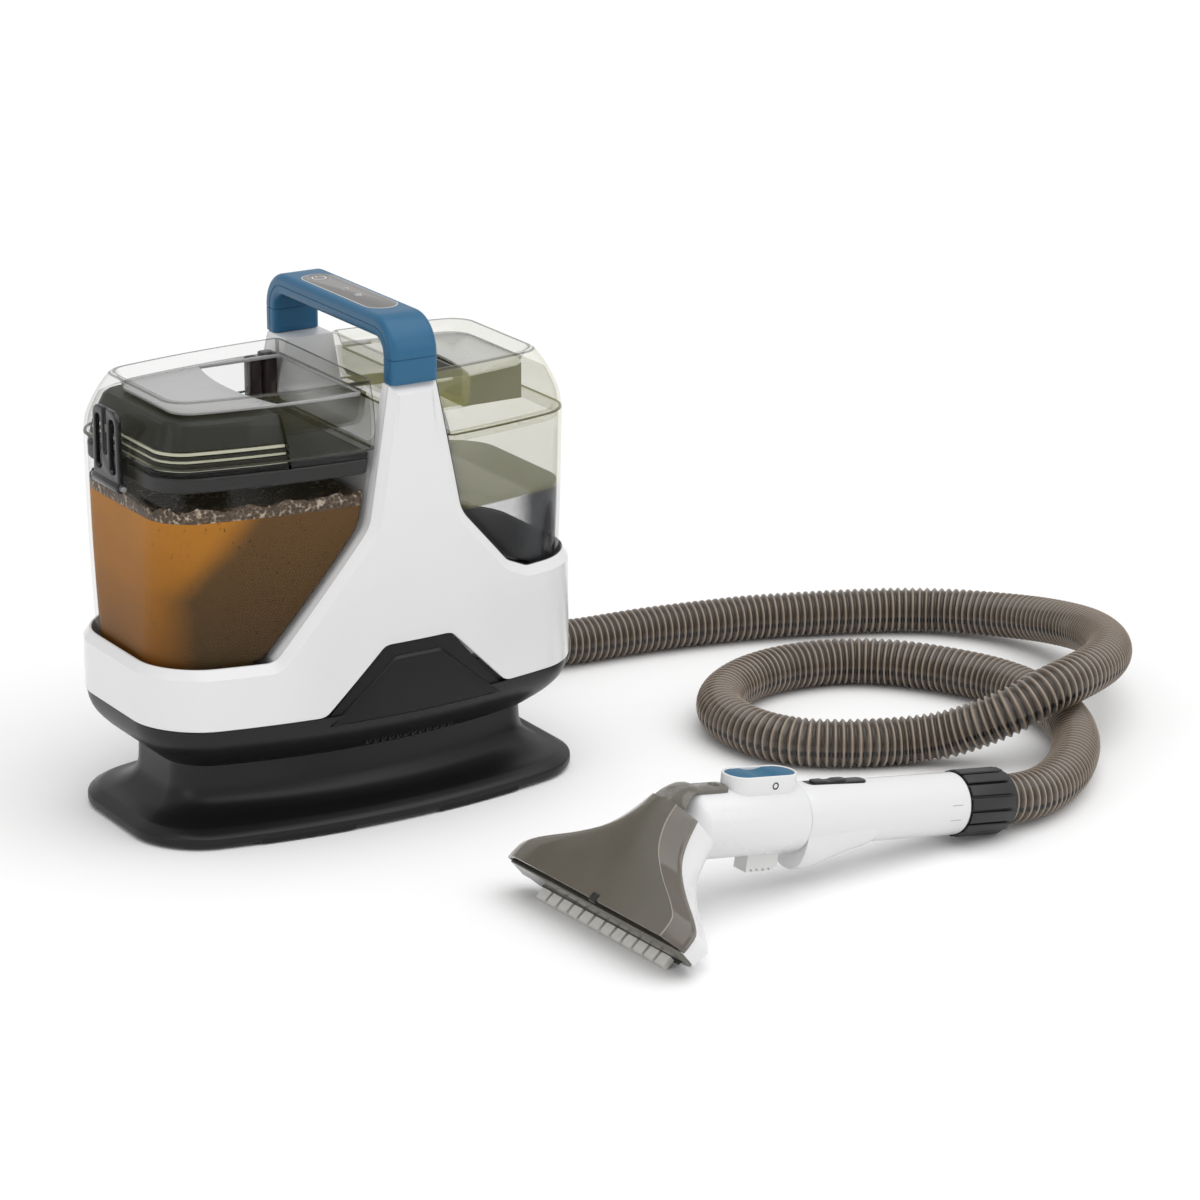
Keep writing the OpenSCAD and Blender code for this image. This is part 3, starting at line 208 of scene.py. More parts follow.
def new_tree(name, inputs):
    """An empty geometry tree with a mesh or curve in and out, and the given named sizes."""
    tree = bpy.data.node_groups.new(name, "GeometryNodeTree")
    tree.interface.new_socket("Geometry", in_out="INPUT", socket_type="NodeSocketGeometry")
    for label, kind in inputs.items():
        tree.interface.new_socket(label, in_out="INPUT", socket_type="NodeSocket" + kind)
    tree.interface.new_socket("Geometry", in_out="OUTPUT", socket_type="NodeSocketGeometry")
    return tree, tree.nodes.new("NodeGroupInput"), tree.nodes.new("NodeGroupOutput")


def put(tree, kind, links=None, **settings):
    """Adds a node: links go to its inputs by number or label, and settings set its fields."""
    made = tree.nodes.new(kind)
    for field, value in settings.items():
        setattr(made, field, value)
    for key, value in (links or {}).items():
        if isinstance(value, bpy.types.NodeSocket):
            tree.links.new(value, made.inputs[key])
        else:
            made.inputs[key].default_value = value
    return made


def maths(tree, operation, *values, **settings):
    """The result of a maths node over the given numbers and sockets."""
    return put(tree, "ShaderNodeMath", dict(enumerate(values)), operation=operation,
               **settings).outputs[0]


def ranged(tree, value, low, high, to_low=0.0, to_high=1.0, **settings):
    """A value carried over from one range to another."""
    return put(tree, "ShaderNodeMapRange", {"Value": value, "From Min": low, "From Max": high,
               "To Min": to_low, "To Max": to_high}, **settings).outputs[0]


def run_tree(name, base, tree, values):
    """Runs a geometry tree over a base object and gives back the plain mesh."""
    bpy.context.scene.collection.objects.link(base)
    modifier = base.modifiers.new("shape", "NODES")
    modifier.node_group = tree
    for item in tree.interface.items_tree:
        if item.in_out == "INPUT" and item.name in values:
            modifier[item.identifier] = values[item.name]
    bpy.context.view_layer.update()
    evaluated = base.evaluated_get(bpy.context.evaluated_depsgraph_get())
    mesh = bpy.data.meshes.new_from_object(evaluated)
    mesh.name = name
    bpy.data.objects.remove(base)
    return mesh


def line_object(points):
    """A poly line in metres, from points in millimetres, as the base of a tree."""
    data = bpy.data.curves.new("line", "CURVE")
    data.dimensions = "3D"
    data.twist_mode = "Z_UP"
    spline = data.splines.new("POLY")
    spline.points.add(len(points) - 1)
    for i, p in enumerate(points):
        spline.points[i].co = (p[0] * MM, p[1] * MM, p[2] * MM, 1)
    return bpy.data.objects.new("line", data)


def send_out(tree, shape, given, out):
    """Makes a tree's shape real, gives it the given material and sends it out."""
    real = put(tree, "GeometryNodeRealizeInstances", {0: shape.outputs[0]})
    paint = put(tree, "GeometryNodeSetMaterial", {0: real.outputs[0],
                "Material": given.outputs["Material"]})
    tree.links.new(paint.outputs[0], out.inputs[0])
    return tree


def ribbed_tube_tree():
    """Sweeps a circle along a line while its radius rises and falls once for every rib."""
    tree, given, out = new_tree("ribbed tube", {
        "Radius": "Float", "Rib Depth": "Float", "Rib Pitch": "Float", "Step": "Float",
        "Sides": "Int", "Material": "Material"})
    even = put(tree, "GeometryNodeResampleCurve", {0: given.outputs["Geometry"],
               "Length": given.outputs["Step"]}, mode="LENGTH")
    along = put(tree, "GeometryNodeSplineParameter")
    turns = maths(tree, "DIVIDE", along.outputs["Length"], given.outputs["Rib Pitch"])
    wave = maths(tree, "SINE", maths(tree, "MULTIPLY", turns, math.tau))
    half = maths(tree, "MULTIPLY", given.outputs["Rib Depth"], 0.5)
    drop = maths(tree, "MULTIPLY", maths(tree, "ADD", wave, -1.0), half)
    radius = maths(tree, "ADD", given.outputs["Radius"], drop)
    level = put(tree, "GeometryNodeStoreNamedAttribute", {0: even.outputs[0], "Name": "crest",
                "Value": wave}, domain="POINT", data_type="FLOAT")
    swell = put(tree, "GeometryNodeSetCurveRadius", {0: level.outputs[0], "Radius": radius})
    ring = put(tree, "GeometryNodeCurvePrimitiveCircle", {"Resolution": given.outputs["Sides"],
               "Radius": 1.0})
    around = put(tree, "GeometryNodeSplineParameter")
    rise = maths(tree, "SINE", maths(tree, "MULTIPLY", around.outputs["Factor"], math.tau))
    marked = put(tree, "GeometryNodeStoreNamedAttribute", {0: ring.outputs[0], "Name": "rise",
                 "Value": rise}, domain="POINT", data_type="FLOAT")
    size = put(tree, "GeometryNodeInputRadius")
    sweep = put(tree, "GeometryNodeCurveToMesh", {0: swell.outputs[0], 1: marked.outputs[0],
                "Scale": size.outputs[0]})
    return send_out(tree, sweep, given, out)


def ramp(tree, share, *stops):
    """A colour that runs through the given stops, each a place from 0 to 1 and a colour."""
    made = put(tree, "ShaderNodeValToRGB", {"Fac": share})
    elements = made.color_ramp.elements
    for end, (position, color) in ((elements[0], stops[0]), (elements[1], stops[-1])):
        end.position, end.color = position, (*color, 1)
    for position, color in stops[1:-1]:
        elements.new(position).color = (*color, 1)
    return made.outputs["Color"]


def mixed(tree, share, first, second):
    """A share of the second colour over the first, each a colour or a socket."""
    return put(tree, "ShaderNodeMix", {0: share, 6: first, 7: second},
               data_type="RGBA").outputs[2]


def feed(material, **sockets):
    """Feeds the shader's inputs, given by their label, from the material's own nodes."""
    tree = material.node_tree
    for label, socket in sockets.items():
        shader_input = tree.nodes["Principled BSDF"].inputs[label.replace("_", " ")]
        tree.links.new(socket, shader_input)


hose_material = new_material("smoky brown hose", (0.11, 0.083, 0.06), 0.28, Coat_Weight=0.3,
                             Coat_Roughness=0.15, Specular_IOR_Level=0.4)
tree = hose_material.node_tree
# The ribs' crests are painted light as a painted highlight, and their valleys dark as painted shade.
crest = put(tree, "ShaderNodeAttribute", attribute_name="crest").outputs["Fac"]
crest_share = maths(tree, "MULTIPLY_ADD", crest, 0.5, 0.5)
tone = ramp(tree, crest_share, (0.0, (0.022, 0.016, 0.012)), (0.5, (0.085, 0.064, 0.046)),
            (0.82, (0.15, 0.115, 0.086)), (1.0, (0.34, 0.275, 0.215)))
# The solution tube inside shows between the ribs as a dark line along either side.
rise = put(tree, "ShaderNodeAttribute", attribute_name="rise").outputs["Fac"]
distance = maths(tree, "ABSOLUTE", maths(tree, "SUBTRACT", rise, 0.22))
line_share = maths(tree, "MULTIPLY", ranged(tree, distance, 0.16, 0.08),
                   ranged(tree, crest_share, 0.95, 0.6))
feed(hose_material, Base_Color=mixed(tree, line_share, tone, (0.006, 0.005, 0.005, 1)))

hose_mesh = run_tree("hose_ribs", line_object(hose_line), ribbed_tube_tree(), {
    "Radius": 0.018, "Rib Depth": 0.0026, "Rib Pitch": 0.00575, "Step": 0.00096, "Sides": 26,
    "Material": hose_material})
hose = link_mesh("hose_ribs", hose_mesh, hose_material, 180)
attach(hose, "machine")
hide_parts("hose")

# ------------------------------------------------------------------ foot
# A black foot moulded in one piece: a bevelled rim on the floor, a concave sweep up to an
# oval neck, and a steel plate screwed in under it. Slots part the rim between its corners.


def bowed_outline(hx, hy, bow, r, corner=12, side=28):
    """Points of a rounded rectangle whose long sides bow out, once round."""
    points = []
    for quarter in range(4):
        sx, sy = (1 if quarter in (0, 3) else -1), (1 if quarter < 2 else -1)
        for i in range(corner + 1):
            a = math.radians(90 * (quarter + i / corner))
            x = sx * (hx - r) + r * math.cos(a)
            y = sy * (hy - bow - r) + r * math.sin(a) + sy * bow * (1 - (x / hx) ** 2)
            points.append((x, y))
        if quarter in (0, 2):
            way = 1 if quarter == 0 else -1
            for j in range(1, side):
                x = way * (hx - r) * (1 - 2 * j / side)
                points.append((x, way * (hy - bow * (x / hx) ** 2)))
    return points


def curve_between(table, heights):
    """Rows of a table of sections, made smooth at the given heights (first column)."""
    table = np.array(table, float)
    out = []
    for h in heights:
        k = int(np.clip(np.searchsorted(table[:, 0], h) - 1, 0, len(table) - 2))
        p0, p1, p2, p3 = (table[max(k - 1, 0)], table[k], table[k + 1],
                          table[min(k + 2, len(table) - 1)])
        t = (h - p1[0]) / (p2[0] - p1[0])
        m1 = (p2 - p0) / max(p2[0] - p0[0], 1e-6) * (p2[0] - p1[0])
        m2 = (p3 - p1) / max(p3[0] - p1[0], 1e-6) * (p2[0] - p1[0])
        row = ((2 * t ** 3 - 3 * t ** 2 + 1) * p1 + (t ** 3 - 2 * t ** 2 + t) * m1
               + (3 * t ** 2 - 2 * t ** 3) * p2 + (t ** 3 - t ** 2) * m2)
        row[0] = h
        out.append(row)
    return out


def ring_stack(rings, first_cap=True, last_cap=True, closed=False, recalc=False):
    """Quads between rings of equal numbers of points, closed on itself or by end faces."""
    n = len(rings[0])
    points = [p for ring in rings for p in ring]
    faces = []
    for k in range(len(rings) if closed else len(rings) - 1):
        a, b = k * n, ((k + 1) % len(rings)) * n
        faces += [(a + i, a + (i + 1) % n, b + (i + 1) % n, b + i) for i in range(n)]
    if first_cap and not closed:
        faces.append(tuple(reversed(range(n))))
    if last_cap and not closed:
        faces.append(tuple(range((len(rings) - 1) * n, len(rings) * n)))
    return mesh_of(points, faces, recalc)


def noise_on(tree, scale, detail=2.0):
    """Soft noise over the piece's own surface, from 0 to 1."""
    place = put(tree, "ShaderNodeTexCoord").outputs["Object"]
    return put(tree, "ShaderNodeTexNoise", {"Vector": place, "Scale": scale,
               "Detail": detail}).outputs["Fac"]


def uneven_gloss(material, scale, low, high):
    """Varies how rough a surface is, softly, between two values."""
    tree = material.node_tree
    feed(material, Roughness=ranged(tree, noise_on(tree, scale, 4.0), 0.3, 0.7, low, high))
    return material


def moulded_group():
    """Fine moulded grain and faint dust: what every moulded plastic here has, each its own."""
    group = bpy.data.node_groups.new("moulded plastic", "ShaderNodeTree")
    for label, kind in (("Color", "Color"), ("Dust Color", "Color"), ("Dust", "Float"),
                        ("Grain Scale", "Float"), ("Grain Depth", "Float"), ("Gloss", "Float")):
        group.interface.new_socket(label, in_out="INPUT", socket_type="NodeSocket" + kind)
    for label, kind in (("Color", "Color"), ("Roughness", "Float"), ("Normal", "Vector")):
        group.interface.new_socket(label, in_out="OUTPUT", socket_type="NodeSocket" + kind)
    given, out = group.nodes.new("NodeGroupInput"), group.nodes.new("NodeGroupOutput")
    cloud = noise_on(group, 16.0, 5.0)
    share = maths(group, "MULTIPLY", cloud, given.outputs["Dust"])
    bump = put(group, "ShaderNodeBump", {
        "Height": noise_on(group, given.outputs["Grain Scale"], 3.0),
        "Distance": given.outputs["Grain Depth"], "Strength": 0.6})
    made = {"Color": mixed(group, share, given.outputs["Color"], given.outputs["Dust Color"]),
            "Roughness": maths(group, "MULTIPLY_ADD", cloud, 0.12, given.outputs["Gloss"]),
            "Normal": bump.outputs[0]}
    for label, socket in made.items():
        group.links.new(socket, out.inputs[label])
    return group


moulded = moulded_group()


def moulded_material(name, color, gloss, dust=0.12, dust_color=(0.5, 0.5, 0.5), grain=900.0,
                     depth=0.00003, **sockets):
    """A moulded plastic with its own colour, gloss and grain."""
    material = new_material(name, color, gloss, **sockets)
    use = put(material.node_tree, "ShaderNodeGroup", {
        "Color": (*color, 1), "Dust Color": (*dust_color, 1), "Dust": dust,
        "Grain Scale": grain, "Grain Depth": depth, "Gloss": gloss - 0.06}, node_tree=moulded)
    feed(material, Base_Color=use.outputs["Color"], Roughness=use.outputs["Roughness"],
         Normal=use.outputs["Normal"])
    return material


black_plastic = moulded_material("satin black plastic", (0.0065, 0.0065, 0.007), 0.34, 0.02,
                                 (0.1, 0.1, 0.1), 1400.0, 0.00002, Specular_IOR_Level=0.32)

foot_l, foot_w, side_bow = 350.0, 201.2, 26.8
neck_z = 50.0
# height, inset from the edge, less bow, corner radius
foot_table = [
    (1.5, 2.2, 0, 39.5), (2.6, 0.6, 0, 40.9), (4.2, 0.0, 0, 41.3), (8.0, 0.0, 0, 41.3),
    (9.4, 0.9, 0, 40.6), (13.2, 6.9, 0, 35), (14.0, 8.6, 0, 33.5), (14.8, 12.0, 0, 31),
    (16.2, 17.5, 0, 27.5), (19.2, 23.4, 0, 24), (24.0, 28.9, 0.4, 22), (31.0, 32.4, 0.9, 21),
    (40.0, 33.6, 1.4, 20), (neck_z, 34.0, 1.8, 20)]
foot_heights = [1.5, 2.0, 2.6, 3.4, 4.2, 6, 8, 8.6, 9.4, 11.3, 13.2, 13.6, 14.0, 14.4, 14.8, 15.5,
                16.2, 17.5, 19.2, 21.5, 24, 27.5, 31, 35, 40, 45, neck_z]


def foot_ring(z, d, less_bow, r):
    """The foot's outline at a height, drawn in from its edge."""
    return [(x, y, z) for x, y in
            bowed_outline(foot_l / 2 - d, foot_w / 2 - d, side_bow - less_bow, r)]


foot_rings = [foot_ring(*row) for row in curve_between(foot_table, foot_heights)]
under = [foot_ring(z, d, 0, r) for z, d, r in
         ((7.5, 6.5, 35), (6.8, 5.6, 36), (1.9, 5.2, 36.5))]
foot = link_mesh("foot_shell", ring_stack(under + foot_rings), black_plastic, 32)
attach(foot, "machine")
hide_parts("foot")

# Wide shallow slots under the rim, as seen between the corner pads, are dark notched strips of painted
# shade.
slot_low, slot_high, slot_proud = 1.6, 4.4, 0.12
slot_points, slot_faces = [], []
for side in (-1, 1):
    for start, end in ((-104, -34), (34, 104)):
        base = len(slot_points)
        for x in np.linspace(start, end, 13):
            y = side * (foot_w / 2 - side_bow * (x / (foot_l / 2)) ** 2 + slot_proud)
            slot_points += [(x, y, slot_low), (x, y, slot_high)]
        for a in range(base, len(slot_points) - 2, 2):
            face = (a, a + 2, a + 3, a + 1)
            slot_faces.append(face if side < 0 else tuple(reversed(face)))
shadow_black = moulded_material("shaded black plastic", (0.002, 0.002, 0.002), 0.8, 0.0)
slots = link_mesh("foot_slots", mesh_of(slot_points, slot_faces), shadow_black)
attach(slots, "machine")



def give(material, *names):
    """Gives the named solids their material."""
    for name in names:
        node[name].data.materials[0] = material


rubber = moulded_material("rubber pads", (0.01, 0.01, 0.01), 0.85, 0.3, (0.06, 0.055, 0.05), 500.0,
                          0.0001)
give(rubber, "rubber_feet")
plated_steel = uneven_gloss(new_material("plated steel", (0.5, 0.5, 0.52), 0.3, 1.0),
                            120.0, 0.22, 0.42)
give(plated_steel, "base_plate", "base_screws", "deck_screws")

# ------------------------------------------------------------------ belly and front panel
# The black lower housing: a bowl that widens from the neck to the white shell, and a panel
# with a raised middle that fills the shell's cut, front and back, over a row of vents.

column_x = 21.4
shell_l, shell_w, shell_r = 346.0, 203.8, 41.0
half_l, half_w = shell_l / 2, shell_w / 2
band_z, panel_z = 88.0, 134.0
belly_table = [
    (neck_z, 32.6, 25, 22), (neck_z + 1.5, 29, 25.3, 24), (neck_z + 7, 22, 25.9, 28),
    (neck_z + 14.5, 13, 26.4, 33), (neck_z + 23, 5.5, 26.8, 37), (neck_z + 30.5, 2, 26.8, 39.5),
    (band_z - 0.5, 0.7, 26.8, 40.6)]


def shell_ring(z, d, bow=side_bow, r=shell_r):
    """The shell's outline at a height, drawn in from its edge."""
    return [(x, y, z) for x, y in bowed_outline(half_l - d, half_w - d, bow, max(r, 3))]


belly_heights = [neck_z, 50.7, 51.5, 54, 57, 60.5, 64.5, 68.5, 73, 76.5, 80.5, 84, band_z - 0.5]
belly_rings = [shell_ring(row[0], row[1], row[2], row[3])
               for row in curve_between(belly_table, belly_heights)]
belly_rings += [shell_ring(band_z - 0.5, 4.4, side_bow, 36.6), shell_ring(108, 4.4, side_bow, 36.6)]
belly = link_mesh("belly_bowl", ring_stack(belly_rings), black_plastic, 40)
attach(belly, "machine")
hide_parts("lower_housing")


def rounded_line(corners, radii, step=1.2):
    """A polyline through the corners, each rounded by its radius."""
    pts = [np.array(c, float) for c in corners]
    out = [pts[0]]
    for i in range(1, len(pts) - 1):
        p, a, b = pts[i], pts[i - 1] - pts[i], pts[i + 1] - pts[i]
        a, b = a / np.linalg.norm(a), b / np.linalg.norm(b)
        half = math.acos(np.clip(a @ b, -1, 1)) / 2
        reach = radii[i] / math.tan(half)
        mid = (a + b) / np.linalg.norm(a + b)
        centre = p + mid * radii[i] / math.sin(half)
        start, end = p + a * reach - centre, p + b * reach - centre
        count = max(3, int(radii[i] * (math.pi - 2 * half) / step))
        sweep = math.atan2(start[0] * end[1] - start[1] * end[0], start @ end)
        for k in range(count + 1):
            t = sweep * k / count
            out.append(centre + np.array([start[0] * math.cos(t) - start[1] * math.sin(t),
                                          start[0] * math.sin(t) + start[1] * math.cos(t)]))
    out.append(pts[-1])
    return np.array(out)


def run_lengths(line):
    """How far along the line each of its points is."""
    return np.concatenate([[0], np.cumsum(np.linalg.norm(np.diff(line, axis=0), axis=1))])


def spread(line, knots, counts):
    """Points on a line between knots, each given as the line's place nearest to a point."""
    line = np.array(line)
    lengths = run_lengths(line)
    places = []
    for q in knots:
        q = np.array(q, float)
        best = (1e9, 0)
        for i in range(len(line) - 1):
            e = line[i + 1] - line[i]
            t = np.clip(((q - line[i]) @ e) / max(e @ e, 1e-9), 0, 1)
            d = np.linalg.norm(line[i] + e * t - q)
            if d < best[0]:
                best = (d, lengths[i] + t * math.sqrt(e @ e))
        places.append(best[1])
    stations = []
    for a, b, n in zip(places, places[1:], counts):
        stations += [a + (b - a) * i / n for i in range(n)]
    stations.append(places[-1])
    return np.column_stack([np.interp(stations, lengths, line[:, 0]),
                            np.interp(stations, lengths, line[:, 1])])


def inward(line, distance, side):
    """The line moved square to itself; side 1 is to its left."""
    d = np.gradient(line, axis=0)
    n = np.column_stack([-d[:, 1], d[:, 0]]) / np.linalg.norm(d, axis=1)[:, None]
    return line + side * distance * n


def face_y(x, inset, lean=0.0):
    """How far the front face stands from the middle at x."""
    return half_w - inset - lean - side_bow * (x / (half_l - inset)) ** 2


def face_patch(name, lower, upper, inset, edge, drop, material, rows=10):
    """A plate with a bevelled rim that lies on the bowed face, front and back."""
    lower, upper = np.array(lower), np.array(upper)
    low_in, high_in = inward(lower, edge, 1), inward(upper, edge, -1)
    low_in[0] = high_in[0] = (low_in[0] + high_in[0]) / 2
    low_in[-1] = high_in[-1] = (low_in[-1] + high_in[-1]) / 2
    layers = [(lower, inset + drop + 3), (lower, inset + drop)]
    layers += [(low_in + (high_in - low_in) * k / rows, inset) for k in range(rows + 1)]
    layers += [(upper, inset + drop), (upper, inset + drop + 3)]
    points, faces = [], []
    n = len(lower)
    for side in (-1, 1):
        base = len(points)
        points += [(x, side * face_y(x, d), z) for line, d in layers for x, z in line]
        for k in range(len(layers) - 1):
            for i in range(n - 1):
                a = base + k * n + i
                quad = (a, a + 1, a + n + 1, a + n)
                faces.append(quad if side < 0 else tuple(reversed(quad)))
    return link_mesh(name, mesh_of(points, faces), material, 22)


panel_x = column_x - 3
foot_half, top_half = 74, 27
cut_line = rounded_line([(-140, band_z), (panel_x - foot_half, band_z),
                         (panel_x - top_half, panel_z), (panel_x + top_half, panel_z),
                         (panel_x + foot_half, band_z), (140, band_z)], [0, 12, 9, 9, 12, 0])


def panel_edge(low, low_z, high, high_z, r):
    """The panel's upper edge: up one slant, across, and down the other."""
    return rounded_line([(panel_x - low, low_z), (panel_x - high, high_z), (panel_x + high, high_z),
                         (panel_x + low, low_z)], [0, r, r, 0])


# The plate fills the cut, and its middle stands out from it.
plate_edge = panel_edge(foot_half - 2, band_z - 3, top_half, panel_z - 0.5, 8.5)
middle_edge = panel_edge(foot_half - 4, band_z - 8, top_half - 8, panel_z - 10, 7)
for name, upper, inset, edge, drop in (("panel_plate", plate_edge, 2.6, 0.8, 0.6),
                                       ("panel_middle", middle_edge, 0.6, 1.6, 1.7)):
    lower = np.linspace(upper[0], upper[-1], len(upper))
    panel = face_patch(name, lower, upper, inset, edge, drop, black_plastic)
    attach(panel, "machine")


def row_tree():
    """Sets copies of a piece along a line, each turned about Z to follow it."""
    tree, given, out = new_tree("row of pieces", {
        "Piece": "Object", "Count": "Int", "Material": "Material"})
    spots = put(tree, "GeometryNodeResampleCurve", {0: given.outputs["Geometry"],
                "Count": given.outputs["Count"]}, mode="COUNT")
    piece = put(tree, "GeometryNodeObjectInfo", {"Object": given.outputs["Piece"]})
    along = put(tree, "GeometryNodeInputTangent")
    turned = put(tree, "FunctionNodeAlignEulerToVector", {"Vector": along.outputs[0]}, axis="X",
                 pivot_axis="Z")
    copies = put(tree, "GeometryNodeInstanceOnPoints", {"Points": spots.outputs[0],
                 "Instance": piece.outputs["Geometry"], "Rotation": turned.outputs[0]})
    return send_out(tree, copies, given, out)


def row_of(name, line, piece_mesh, count, material, smooth_angle=35):
    """One mesh of equal pieces set along a line of points in millimetres."""
    piece = add_object(name + "_piece", piece_mesh)
    mesh = run_tree(name, line_object(line), rows_tree, {
        "Piece": piece, "Count": count, "Material": material})
    bpy.data.objects.remove(piece)
    return link_mesh(name, mesh, material, smooth_angle)


rows_tree = row_tree()

# Each vent is a slanted slot with a raised rim, in a row low on the front: its inside is painted shade,
# near black and matt, and its rim is painted a lighter black as a painted highlight.
vent_slant = math.radians(38)
vent_rings = []
for r, y in ((1.5, 0.3), (1.35, -0.35), (1.0, -0.35), (0.9, 0.6), (0.85, 2.2)):
    oval = [(r * math.cos(a), (r + 2.0 * abs(math.sin(a))) * math.sin(a))
            for a in np.linspace(0, math.tau, 20, False)]
    vent_rings.append([(u * math.cos(vent_slant) + v * math.sin(vent_slant), y,
                        v * math.cos(vent_slant) - u * math.sin(vent_slant)) for u, v in oval])
vent_mesh = ring_stack(vent_rings[3:], first_cap=False)
rim_mesh = ring_stack(vent_rings[:4], False, False)
vent_z, vent_count, vent_pitch = neck_z + 8.5, 12, 6.2
vent_reach = vent_pitch * (vent_count - 1) / 2
vent_face = float(np.interp(vent_z, [row[0] for row in belly_table], [row[1] for row in belly_table]))
vent_line = [(x, -face_y(x, vent_face), vent_z)
             for x in np.linspace(column_x - vent_reach, column_x + vent_reach, 24)]
rim_highlight_black = moulded_material("vent rim, painted highlight", (0.035, 0.035, 0.036), 0.26, 0.0)
for name, mesh, stuff in (("vents", vent_mesh, shadow_black), ("vent_rims", rim_mesh, rim_highlight_black)):
    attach(row_of(name, vent_line, mesh, vent_count, stuff), "machine")

# ------------------------------------------------------------------ white shell
# The glossy white shell: a ring round the tanks' feet that flares up into the column between
# them, with a chamfered rim. It is moulded with the column's face and drops over the panel.

shoulder_z, column_top_z = 220.0, 317.8
ring_left_z, ring_right_z = 132.0, 168.0
left_foot, right_foot = column_x - 113, column_x + 94
left_shoulder, right_shoulder = column_x - 39, column_x + 36
top_left, top_right = column_x - 19, column_x + 19


def lean_at(z):
    """How far the column's face leans in at a height."""
    return 0.066 * 8 * math.log1p(math.exp((z - 218.0) / 8))


top_line = rounded_line([(-132, ring_left_z), (left_foot + 2, ring_left_z), (left_shoulder, shoulder_z),
                         (top_left, column_top_z), (top_right, column_top_z),
                         (right_shoulder, shoulder_z), (right_foot - 18, ring_right_z + 8),
                         (right_foot, ring_right_z), (132, ring_right_z)],
                        [0, 12, 28, 1.5, 1.5, 26, 14, 10, 0])
knots_top = [(-132, 132), (-95, 132), (-82, 139), (-28, 206), (-14, 238), (2.4, 317.8), (40.4, 317.8),
             (54, 238), (66, 207), (97.4, 176), (118, 168), (132, 168)]
knots_low = [(-132, 88), (-78, 88), (-62, 88), (-44, 101), (-26, 120), (-8.6, 134), (45.4, 134),
             (62, 117), (72, 106), (86, 93), (100, 88), (132, 88)]
steps = [8, 8, 26, 12, 24, 14, 24, 10, 18, 10, 8]
upper_edge = spread(top_line, knots_top, steps)
lower_edge = spread(cut_line, knots_low, steps)


def shell_end(side, d, z, steps=14):
    """The band's way round one end of the machine, from corner to corner."""
    r, points = shell_r - d, []
    for k in range(1, steps * 2 + 2):
        late = k > steps
        a = math.radians(-90 * side + 90 * (k - late) / steps)
        x = side * (half_l - shell_r) + r * math.cos(a)
        bowed = side_bow * (1 - (x / (half_l - d)) ** 2)
        y = (side if late else -side) * (half_w - side_bow - shell_r + bowed) + r * math.sin(a)
        points.append((x, y, z))
    return points


def side_band(upper, lower, layers):
    """A closed band round the machine, whose stations pair a lower and an upper edge."""
    rings = []
    for move_low, move_high, share, d in layers:
        low = inward(lower, move_low, 1)
        high = np.array(inward(upper, move_high, -1))
        # Near the column's square top the drawn-in edge keeps its own corners.
        high[:, 1] = np.minimum(high[:, 1], column_top_z - move_high)
        at_top = np.array(upper)[:, 1] > column_top_z - 0.5
        high[at_top, 0] = np.clip(high[at_top, 0], top_left + 0.82 * move_high,
                                  top_right - 0.82 * move_high)
        line = low + (high - low) * share
        front = [(x, -face_y(x, d, lean_at(z)), z) for x, z in line]
        back = [(x, -y, z) for x, y, z in reversed(front)]
        ring = front + shell_end(1, d, front[-1][2])
        ring += back[1:] if abs(ring[-1][0] - back[0][0]) < 0.5 else back
        ring += shell_end(-1, d, front[0][2])
        if abs(ring[-1][0] - ring[0][0]) < 0.5:
            ring.pop()
        rings.append(ring)
    return rings


rows = 22
band_layers = [(0.0, 0, 0, 5.4), (0.0, 0, 0, 0.8), (0.3, 0, 0, 0.25), (0.9, 0, 0, 0.0)]
band_layers += [(0.9, 6.5, k / rows, 0.0) for k in range(1, rows + 1)]
band_layers += [(0.9, 0.9, 1, 3.6), (0.9, 0.35, 1, 4.0), (0.9, 0, 1, 4.6), (0.9, 0, 1, 5.6),
                (0.9, 1.0, 1, 6.0)]
band_layers += [(0.9, 6.5, k / 8, 6.0) for k in range(7, 0, -1)]
white_gloss = moulded_material("gloss white plastic", (0.76, 0.76, 0.765), 0.24, 0.03,
                               (0.55, 0.54, 0.5), 700.0, 0.000012, Coat_Weight=0.2,
                               Coat_Roughness=0.08)
shell = link_mesh("shell_band", ring_stack(side_band(upper_edge, lower_edge, band_layers),
                                           closed=True), white_gloss, 24)
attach(shell, "machine")
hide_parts("upper_shell")

# ------------------------------------------------------------------ centre tower
# The white tower inside the column closes the shell towards the tanks. Its front and rear
# legs carry the handle, and a saddle between them leaves room for the fingers.


def prism(outline, low, high, axis="Y"):
    """A closed solid that carries an outline along an axis; X keeps (Y, Z), Z keeps (X, Y)."""
    place = {"X": lambda p, t: (t, p[0], p[1]), "Y": lambda p, t: (p[0], t, p[1]),
             "Z": lambda p, t: (p[0], p[1], t)}[axis]
    n = len(outline)
    points = [place(p, t) for t in (low, high) for p in outline]
    faces = [(i, (i + 1) % n, n + (i + 1) % n, n + i) for i in range(n)]
    faces += [tuple(range(n)), tuple(range(n, 2 * n))]
    return mesh_of(points, faces, True)


def circle(x, y, r, count):
    """Points set evenly round a circle."""
    return [(x + r * math.cos(a), y + r * math.sin(a)) for a in np.linspace(0, math.tau, count, False)]


